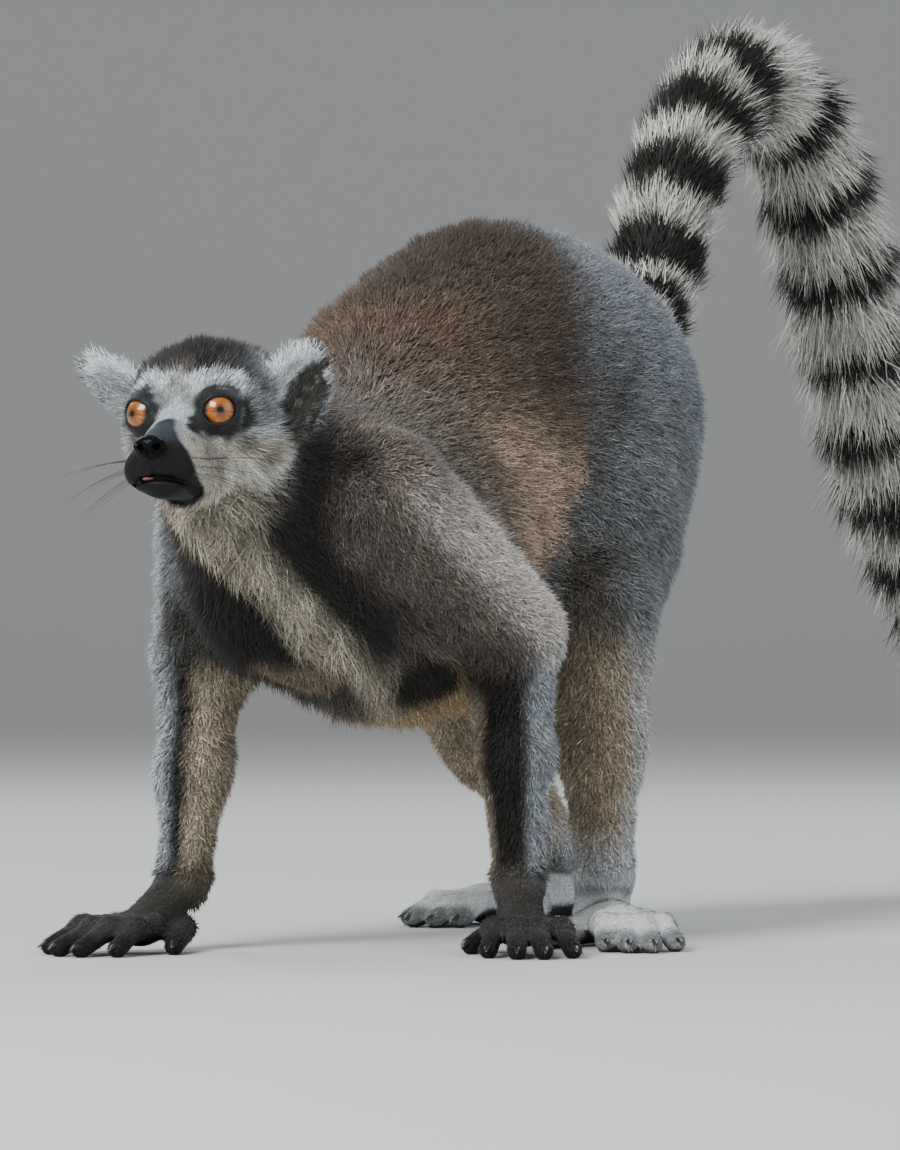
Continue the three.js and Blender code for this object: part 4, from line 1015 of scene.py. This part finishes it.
def tufts(name, at, length, width, lift, mat, kind, par, two=False, thick=.5, bend=14, jit=.52, soft=.55, tone=None, sink=.03, clump=.35, col_at=.0):
    """A coat piece: thin pointed locks, each a closed little solid, lying along the body."""
    P, Nn, D = at(SV), rows(at(SN)), at(FL)
    n = len(P)
    L = local(P)
    W = at(WG)
    ln = length(P, Nn, L) if callable(length) else np.full(n, length)
    lf = lift(P, Nn, L) if callable(lift) else np.full(n, lift)
    wd = width(P, Nn, L) if callable(width) else np.full(n, width)
    ln = ln * (.72 + .5 * rng.random(n)) * (1 + .10 * noise3(P, .8, 5))
    lf = np.radians(lf) * (.75 + .5 * rng.random(n)) * (1 + clump * noise3(P, .9, 7))
    D = rows(D - Nn * (D * Nn).sum(1, keepdims=True))
    S = np.cross(Nn, D)
    y = rng.normal(size=n) * jit + clump * .5 * noise3(P, .7, 11)
    D, S = D * np.cos(y)[:, None] + S * np.sin(y)[:, None], S * np.cos(y)[:, None] - D * np.sin(y)[:, None]
    s_arc = at(ARC)
    s_vis = s_arc + ln * np.cos(lf) * col_at
    Pv = P + D * (ln * .55 * (1 - W[:, GI["head"]]))[:, None]
    col = tint(Pv, Nn, W, L, s_vis)
    # painted shade: darker clefts between the locks, where the coat parts
    cleft_shade = step(.15, 1.0, noise3(P, 1.5, 17)) * step(.3, .6, ln)
    col = col * np.exp(rng.normal(size=n) * .34 - .30 * cleft_shade + .10 * noise3(P, 2.2, 19))[:, None]
    if tone is not None:
        col = tone(col, P, Nn, L)
    col = np.clip(col, .002, .95)
    uv = unwrap(P, kind, par)
    w = wd * (.75 + .5 * rng.random(n))

    def lobe(base, dr, up, ww):
        return [base - S * ww[:, None] / 2, base + S * ww[:, None] / 2, base + up * (ww * thick)[:, None]]
    base = P - Nn * sink
    if not two:
        dr = D * np.cos(lf)[:, None] + Nn * np.sin(lf)[:, None]
        up = Nn * np.cos(lf)[:, None] - D * np.sin(lf)[:, None]
        tip = base + dr * ln[:, None]
        V = np.stack(lobe(base, dr, up, w) + [tip], 1)
        Fc = np.array([(0, 2, 3), (2, 1, 3), (1, 0, 3), (0, 1, 2)])
        nrm = np.stack([up - S * .5, up + S * .5, up, up], 1)
        shade = np.array([.72, .72, .80, 1.15])
        nv = 4
    else:
        l0, l1 = lf + math.radians(bend), lf - math.radians(bend)
        d0 = D * np.cos(l0)[:, None] + Nn * np.sin(l0)[:, None]
        d1 = D * np.cos(l1)[:, None] + Nn * np.sin(l1)[:, None]
        up0 = Nn * np.cos(l0)[:, None] - D * np.sin(l0)[:, None]
        up1 = Nn * np.cos(lf)[:, None] - D * np.sin(lf)[:, None]
        mid = base + d0 * (ln * .5)[:, None]
        tip = mid + d1 * (ln * .5)[:, None]
        V = np.stack(lobe(base, d0, up0, w * .7) + lobe(mid, d1, up1, w) + [tip], 1)
        Fc = np.array([(0, 2, 5), (0, 5, 3), (2, 1, 4), (2, 4, 5), (1, 0, 3), (1, 3, 4), (3, 5, 6), (5, 4, 6), (4, 3, 6), (0, 1, 2)])
        nrm = np.stack([up0 - S * .5, up0 + S * .5, up0, up1 - S * .5, up1 + S * .5, up1, up1], 1)
        shade = np.array([.68, .68, .72, .95, .95, 1.0, 1.12])
        nv = 7
    Vf = V.reshape(-1, 3)
    Vf[:, 2] = np.maximum(Vf[:, 2], SHIFT[2] + .02)
    faces = (Fc[None, :, ::-1] + np.arange(n)[:, None, None] * nv).reshape(-1, 3)
    ob = make_mesh(name, Vf, faces, [mat])
    add_col(ob, "tone", (col[:, None, :] * shade[None, :, None]).reshape(-1, 3))
    # each lock is one small patch at its root's place
    px = np.array([(-.5, -.5), (.5, -.5), (0, -.3), (0, .5)]) if nv == 4 else np.array([(-.5, -.5), (.5, -.5), (0, -.4), (-.4, 0), (.4, 0), (0, .1), (0, .5)])
    UV = (np.clip(uv, .003, .997)[:, None, :] + px[None] * .003).reshape(-1, 2)
    lay = ob.data.uv_layers.new(name="OFBake")
    lay.uv.foreach_set("vector", UV[faces.ravel()].astype(F).ravel())
    nn = rows((nrm * (1 - soft) + Nn[:, None, :] * soft).reshape(-1, 3))
    ob.data.normals_split_custom_set_from_vertices(nn.tolist())
    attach(ob, "root")
    TOTAL[0] += len(faces)
    print(name, n, "locks", len(faces), "triangles", round(time.time() - t0, 1), "s")
    return ob


K = 1.0
WK = 1.0
g = {n: TG == k for n, k in GI.items()}
one = np.ones(len(Tri)) * K


def len_body(P, N, L):
    x, y, z = P.T
    l = np.full(len(P), .57)
    l = l + .40 * step(-.3, -.8, N[:, 2])
    cx = np.interp(z, [9.9, 11.4, 12, 13.4, 14.8, 16.2, 18], [1.6, 2.0, 2.0, 1.55, .85, .3, .15])
    l = l + .70 * step(2.6, 1.3, np.abs(x - cx)) * step(3.0, 0.0, y) * step(.2, -.5, N[:, 2] + .5 * N[:, 1])
    l1 = np.sqrt(((x - .1) / 1.7) ** 2 + ((y + 2.4) / 1.8) ** 2 + ((z - 10.4) / 1.5) ** 2)
    return l * (1 - .62 * step(1.7, 1.1, l1))


def lift_body(P, N, L):
    """Woolly on the back and flanks, lying flatter where the hair is long."""
    return 43 - 12 * step(.7, 1.2, len_body(P, N, L)) - 5 * step(-2, -5, P[:, 1])


def len_neck(P, N, L):
    return .58 + .72 * step(2.9, 1.6, np.abs(P[:, 0])) * step(.1, -.6, N[:, 2] + .4 * N[:, 1])


for nm, y0, y1, a_, b_ in (("front", -99, 7.0, (0, -3, 15.5), (0, 8, 18)), ("middle", 7.0, 13.0, (0, 6, 18), (0, 14, 19)), ("rear", 13.0, 99, (0, 12, 19), (0, 21, 20))):
    tufts("coat_trunk_" + nm, sample(g["trunk"] & (TC[:, 1] >= y0) & (TC[:, 1] < y1), one * 125), len_body, .076 * WK, lift_body, M_FUR,
          "chain", [a_, b_])
tufts("coat_neck", sample(g["neck"], one * 130), len_neck, .074 * WK, lift_body, M_FUR, "chain", [(.3, -8, 19), (0, 0, 16)])
for sd, s in (("left", "L"), ("right", "R")):
    tufts("coat_arm_" + sd, sample(g["arm_" + sd], one * 130), lambda P, N, L: .34 + .17 * step(3, 12, P[:, 2]), .068 * WK, 37, M_FUR,
          "chain", [J["sh" + s], J["el" + s], J["wr" + s]])
    tufts("coat_leg_" + sd, sample(g["leg_" + sd], one * 125), lambda P, N, L: .36 + .20 * step(3, 15, P[:, 2]), .070 * WK, 38, M_FUR,
          "chain", [J["hip" + s], J["kn" + s], J["an" + s]])
    for kd, w in (("hand", "wr"), ("foot", "an")):
        dens = 120 * K * (1 - .85 * step(-.1, -.6, TNZ[:, 2])) * (1 - .5 * step(.6, .3, TC[:, 2]))
        tufts("coat_%s_%s" % (kd, sd), sample(g[kd + "_" + sd] & ~bare, dens), .30, .055 * WK, 13, M_FACE,
              "paw", (J[w + s],), jit=.25)


def face_far(L):
    """How far a place is from the bare muzzle, 0 on it and 1 on the cheeks and crown."""
    return step(3.9, 1.2, L[:, 1])


def len_head(P, N, L):
    a, f, u = np.abs(L[:, 0]), L[:, 1], L[:, 2]
    l = .10 + .04 * step(4.8, 4.0, f) + .26 * step(3.4, .8, f) + .16 * step(.3, .9, u)
    l = l + .45 * step(1.2, 2.2, a) * step(2.2, .8, f) * step(-.4, -1.4, u)
    l = l + .45 * step(-2.6, -3.2, u) * step(3.4, 2.0, f)
    l = l + .20 * step(-1.0, -2.6, f)
    for s in (1, -1):
        d = np.linalg.norm(L - (np.array(EYE[s]) + EYE_AX[s] * EYE_R), axis=1)
        l = np.where(d < 1.1, np.minimum(l, .12 + .14 * step(.7, 1.1, d)), l)
    return l


def lift_head(P, N, L):
    return 11 + 14 * step(3.6, 1.4, L[:, 1]) + 12 * step(.3, .9, L[:, 2])


hd = 240 * K * (1 + .5 * step(1.5, 3.5, TL[:, 1])) * (1 - .5 * step(4.9, 5.4, TL[:, 1]))
tufts("coat_head", sample(g["head"] & ~bare & ~mouth_zone, hd), len_head, lambda P, N, L: (.040 + .028 * step(3.4, 1.0, L[:, 1])) * WK, lift_head,
      M_FACE, "head", None, jit=.2, clump=.2, sink=.015)
for sd, s in (("left", 1), ("right", -1)):
    ec, R, r = ear_axes(s)

    def len_ear(P, N, L, ec=ec, R=R, r=r):
        e = (L - ec) @ R
        rr = np.sqrt((e[:, 0] / r[0]) ** 2 + (e[:, 1] / r[1]) ** 2)
        return .26 + .24 * step(.7, 1.0, rr) + (.0 if ec[0] > 0 else .34) * step(.3, 1.0, e[:, 0] / r[0]) + (.28 if ec[0] > 0 else 0) * step(.7, 1.0, rr) * step(.3, -.8, e[:, 0] / r[0])
    tufts("coat_ear_" + sd, sample(g["ear_" + sd], one * 190), len_ear, .05 * WK, 20, M_FACE, "ear", s, jit=.3, clump=.3, sink=.01)


def len_tail(P, N, L):
    s = arc_of(P)
    t = s / TAIL_LEN
    h = tail_r(t) - core_r(t)
    return np.clip(h / math.sin(math.radians(38)), .6, 2.9) * (.55 + .45 * step(-.5, 2.0, s))


tz = TC[:, 1] + 0
tarc = np.zeros(len(Tri))
tarc[g["tail"]] = arc_of(TC[g["tail"]])
cuts = [-9, 12, 25, 39, 99]
for k in range(4):
    m = g["tail"] & (tarc >= cuts[k]) & (tarc < cuts[k + 1])
    tufts("coat_tail_%d" % (k + 1), sample(m, one * (125 if k < 2 else 150)), len_tail, .062 * WK, 38, M_TAIL, "tail", None,
          two=True, jit=.30, clump=.18, col_at=.95, soft=.7)
print("coat", TOTAL[0], "triangles")


# ------------------------------------------------------------------ eyes
def eye_mat():
    m, nt, b = new_mat("eye_glass")
    at = nd(nt, "ShaderNodeAttribute", attribute_name="iris")
    sep = nd(nt, "ShaderNodeSeparateXYZ")
    nt.links.new(at.outputs["Vector"], sep.inputs[0])
    mp = nd(nt, "ShaderNodeMapping")
    mp.inputs["Scale"].default_value = (7, 7, 1.1)
    nt.links.new(at.outputs["Vector"], mp.inputs["Vector"])
    nz = nd(nt, "ShaderNodeTexNoise", Scale=1.6, Detail=5.0, Roughness=.6)
    nt.links.new(mp.outputs[0], nz.inputs["Vector"])
    # distance from the pupil's middle, 0 to 1 at the edge of the iris
    base = ramp(nt, sep.outputs["Z"], [(0, (.0, .0, .0)), (.165, (.0, .0, .0)), (.20, (.12, .035, .006)), (.38, (.33, .100, .010)),
                                       (.68, (.48, .150, .014)), (.84, (.24, .070, .009)), (.92, (.03, .015, .008)), (1, (.01, .008, .006))])
    st = ramp(nt, nz.outputs["Fac"], [(.36, (.34, .27, .22)), (.60, (1, 1, 1))])
    c = mixc(nt, "MULTIPLY", 1.0, base, st)
    nt.links.new(c, b.inputs["Base Color"])
    b.inputs["Roughness"].default_value = .22
    b.inputs["Coat Weight"].default_value = .6
    b.inputs["Coat Roughness"].default_value = .02
    b.inputs["Coat IOR"].default_value = 1.45
    return m


M_EYE = eye_mat()
for sd, s in (("left", 1), ("right", -1)):
    c = np.array(EYE[s])
    ax = EYE_AX[s]
    e1 = unit(np.cross(ax, (0, 0, 1)))
    e2 = np.cross(e1, ax)
    th = np.r_[np.linspace(0, .9, 46), np.linspace(.95, np.pi, 20)]
    ph = np.linspace(0, 2 * np.pi, 64, endpoint=False)
    V, I = [], []
    for t in th[1:-1]:
        # the clear front of the eye stands a little proud of the ball
        r = EYE_R * (.985 + .045 * math.exp(-(t / .48) ** 2))
        for q in ph:
            V.append(c + r * (ax * math.cos(t) + (e1 * math.cos(q) + e2 * math.sin(q)) * math.sin(t)))
            I.append((math.cos(q), math.sin(q), min(t / .755, 1.0)))
    n = len(ph)
    V = [c + ax * EYE_R * 1.03] + V + [c - ax * EYE_R * .985]
    I = [(0, 0, 0)] + I + [(0, 0, 1)]
    fc = []
    for a in range(len(th) - 3):
        for q in range(n):
            i0, i1 = 1 + a * n + q, 1 + a * n + (q + 1) % n
            fc += [(i0, i0 + n, i1), (i1, i0 + n, i1 + n)]
    last = len(V) - 1
    for q in range(n):
        fc.append((0, 1 + q, 1 + (q + 1) % n))
        fc.append((last, 1 + (len(th) - 3) * n + (q + 1) % n, 1 + (len(th) - 3) * n + q))
    V = np.array(V)
    V = HEAD + V @ HF
    ob = make_mesh("eyeball_" + sd, V, outward(V - V.mean(0), np.array(fc)), [M_EYE])
    add_vec(ob, "iris", np.array(I))
    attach(ob, "root")
    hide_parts("eye_" + sd)


# ------------------------------------------------------------------ nails, whiskers, tongue
def loft(sections, m=8):
    """A closed tapering form through (centre, side, up, half width, half height) sections."""
    V, fc = [], []
    for c, sd, up, hw_, hh in sections:
        for k in range(m):
            a = 2 * math.pi * k / m
            V.append(np.asarray(c) + np.asarray(sd) * hw_ * math.cos(a) + np.asarray(up) * hh * math.sin(a))
    for r in range(len(sections) - 1):
        for k in range(m):
            a, b = r * m + k, r * m + (k + 1) % m
            fc += [(a, b, b + m), (a, b + m, a + m)]
    V.append(np.asarray(sections[0][0]))
    V.append(np.asarray(sections[-1][0]))
    for k in range(m):
        fc.append((len(V) - 2, (k + 1) % m, k))
        e = (len(sections) - 1) * m
        fc.append((len(V) - 1, e + k, e + (k + 1) % m))
    V, fc = np.array(V), np.array(fc)
    return V, outward(V - V.mean(0), fc)


def merge(parts):
    V, fc, o = [], [], 0
    for v, f_ in parts:
        V.append(v)
        fc.append(f_ + o)
        o += len(v)
    return np.concatenate(V), np.concatenate(fc)


def plain(name, col, rough, scale, lo, coat=0.0):
    m, nt, b = new_mat(name)
    tc_ = nd(nt, "ShaderNodeTexCoord")
    nz = nd(nt, "ShaderNodeTexNoise", Scale=float(scale), Detail=3.0, Roughness=.6)
    nt.links.new(tc_.outputs["Object"], nz.inputs["Vector"])
    r = ramp(nt, nz.outputs["Fac"], [(.3, tuple(col * lo)), (.7, tuple(col))])
    nt.links.new(r, b.inputs["Base Color"])
    b.inputs["Roughness"].default_value = rough
    b.inputs["Coat Weight"].default_value = coat
    b.inputs["Coat Roughness"].default_value = .15
    return m


M_NAIL = plain("nail", lin(40, 38, 38), .35, 900, .55, .3)
M_WHISK = plain("whisker", lin(30, 29, 29), .5, 500, .6)
M_TONGUE = plain("tongue", lin(150, 96, 92), .35, 1200, .75, .4)
for limb in ("hand_left", "hand_right", "foot_left", "foot_right"):
    parts_ = []
    for nm, k1, k2, r, thumb in DIGITS:
        if nm != limb:
            continue
        d = unit(k2 - k1)
        flat = unit((d[0], d[1], 0))
        side = unit(np.cross(flat, (0, 0, 1)))
        up = np.array([0, 0, 1.0])
        sec = []
        L_ = .62 if limb.startswith("foot") else .55
        for q in np.linspace(0, 1, 7):
            c = k2 + flat * (r * .15 + L_ * q) + up * (r * .52 - .20 * q * q)
            c[2] = max(c[2], .12)
            wq = (.17 * (1 - q) ** .55 + .012) * (1.25 if thumb else 1)
            sec.append((c, side, up, wq, wq * .55))
        parts_.append(loft(sec, 8))
    v, fc = merge(parts_)
    ob = make_mesh("nails_" + limb, v, fc, [M_NAIL])
    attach(ob, "root")

parts_ = []
wr = np.random.default_rng(4)
for s in (1, -1):
    for row in range(3):
        for k in range(4):
            f0 = 5.1 - .36 * k - .1 * row
            base = np.array([s * (.86 + .08 * k - .04 * row), f0, -2.45 - .20 * row - .04 * k])
            out = unit((s * (1.0), .25 - .28 * k, -.05 - .22 * row + .06 * k))
            ln_ = 2.3 + .45 * k + wr.random() * .6
            curve = unit((0, -.55, -.55))
            sec = []
            for q in np.linspace(0, 1, 8):
                c = base + out * ln_ * q + curve * ln_ * .22 * q * q
                sd = unit(np.cross(out, (0, .3, 1)))
                up = np.cross(sd, out)
                w_ = .010 * (1 - q) + .002
                sec.append((hp(*c), sd @ HF, up @ HF, w_, w_))
            parts_.append(loft(sec, 4))
    for k in range(3):
        base = np.array([s * (1.05 + .25 * k), 3.05 - .15 * k, .12 - .05 * k])
        out = unit((s * (.35 + .3 * k), .6, .8))
        sec = []
        ln_ = 1.5 + .3 * wr.random()
        for q in np.linspace(0, 1, 7):
            c = base + out * ln_ * q + np.array([0, -.5, .05]) * q * q
            sd = unit(np.cross(out, (0, .3, 1)))
            up = np.cross(sd, out)
            w_ = .010 * (1 - q) + .002
            sec.append((hp(*c), sd @ HF, up @ HF, w_, w_))
        parts_.append(loft(sec, 4))
v, fc = merge(parts_)
ob = make_mesh("whiskers", v, fc, [M_WHISK])
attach(ob, "root")
sec = []
for q in np.linspace(0, 1, 9):
    c = (-.34, 4.62 + .98 * q, -3.19 + .03 * q)
    w_ = .34 * math.sqrt(max(1 - q ** 3, .02))
    sec.append((hp(*c), HF[0], HF[2], w_, w_ * .34))
v, fc = loft(sec, 14)
ob = make_mesh("tongue", v, fc, [M_TONGUE])
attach(ob, "root")

# ------------------------------------------------------------------ floor and backdrop in one sweep
prof = [(-7.0, 0.0), (3.4, 0.0)]
for q in np.linspace(0, 1, 13)[1:]:
    a = q * math.pi / 2
    prof.append((3.4 + 3.2 * math.sin(a), 3.2 * (1 - math.cos(a))))
prof.append((6.6, 9.0))
A32 = math.radians(32.0)
vd = np.array([-math.sin(A32), math.cos(A32)])            # the way the camera looks
sdv = np.array([math.cos(A32), math.sin(A32)])
V = []
for s in (-9, 9):
    for d, z in prof:
        V.append(((vd * d + sdv * s)[0], (vd * d + sdv * s)[1], z))
n = len(prof)
fc = [(k, k + n, k + n + 1, k + 1) for k in range(n - 1)]
me = bpy.data.meshes.new("floor")
me.from_pydata(V, [], fc)
for p_ in me.polygons:
    p_.use_smooth = True
floor = bpy.data.objects.new("floor", me)
bpy.context.scene.collection.objects.link(floor)
mf, nt, b = new_mat("floor_pale")
b.inputs["Base Color"].default_value = (.60, .60, .59, 1)
b.inputs["Roughness"].default_value = .8
me.materials.append(mf)

# ------------------------------------------------------------------ camera
cam_cm = 240 * np.array([math.sin(A32), -math.cos(A32), 0]) + 4.508 * np.array([math.cos(A32), math.sin(A32), 0]) + np.array([0, 0, 14.190])
cam = bpy.data.objects.new("camera", bpy.data.cameras.new("camera"))
bpy.context.scene.collection.objects.link(cam)
cam.location = to_m(cam_cm)
cam.rotation_euler = (math.pi / 2, 0, A32)
cam.data.lens = 200
cam.data.sensor_width = 36
cam.data.sensor_fit = "AUTO"
cam.data.clip_end = 50
bpy.context.scene.camera = cam


# ------------------------------------------------------------------ light
def area(name, az, el, dist, size, power, col=(1, 1, 1), aim=(-.01, -.03, .18)):
    a, e = math.radians(az), math.radians(el)
    fwd = np.array([math.sin(A32), -math.cos(A32), 0])
    rt = np.array([math.cos(A32), math.sin(A32), 0])
    d = (fwd * math.cos(a) + rt * math.sin(a)) * math.cos(e) + np.array([0, 0, math.sin(e)])
    li = bpy.data.lights.new(name, "AREA")
    li.energy = power
    li.size = size
    li.color = col
    o = bpy.data.objects.new(name, li)
    bpy.context.scene.collection.objects.link(o)
    o.location = np.array(aim) + d * dist
    z = d
    x = np.cross((0, 0, 1), z)
    x /= np.linalg.norm(x)
    y = np.cross(z, x)
    from mathutils import Matrix
    o.rotation_euler = Matrix(np.stack([x, y, z], 1).tolist()).to_euler()
    return o


area("key", -34, 34, 2.0, .85, 48, (1.0, .985, .96))
area("fill", 55, 20, 2.4, 1.8, 16, (.94, .97, 1.0))
area("rim", 150, 42, 1.9, 1.0, 16, (.86, .93, 1.0))
area("rim_left", -140, 35, 1.9, .9, 11, (.9, .95, 1.0))
w = bpy.data.worlds.new("world")
bpy.context.scene.world = w
w.use_nodes = True
bg = w.node_tree.nodes["Background"]
bg.inputs[0].default_value = (.93, .96, 1, 1)
bg.inputs[1].default_value = .45

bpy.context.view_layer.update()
print("total", round(time.time() - t0, 1), "s")
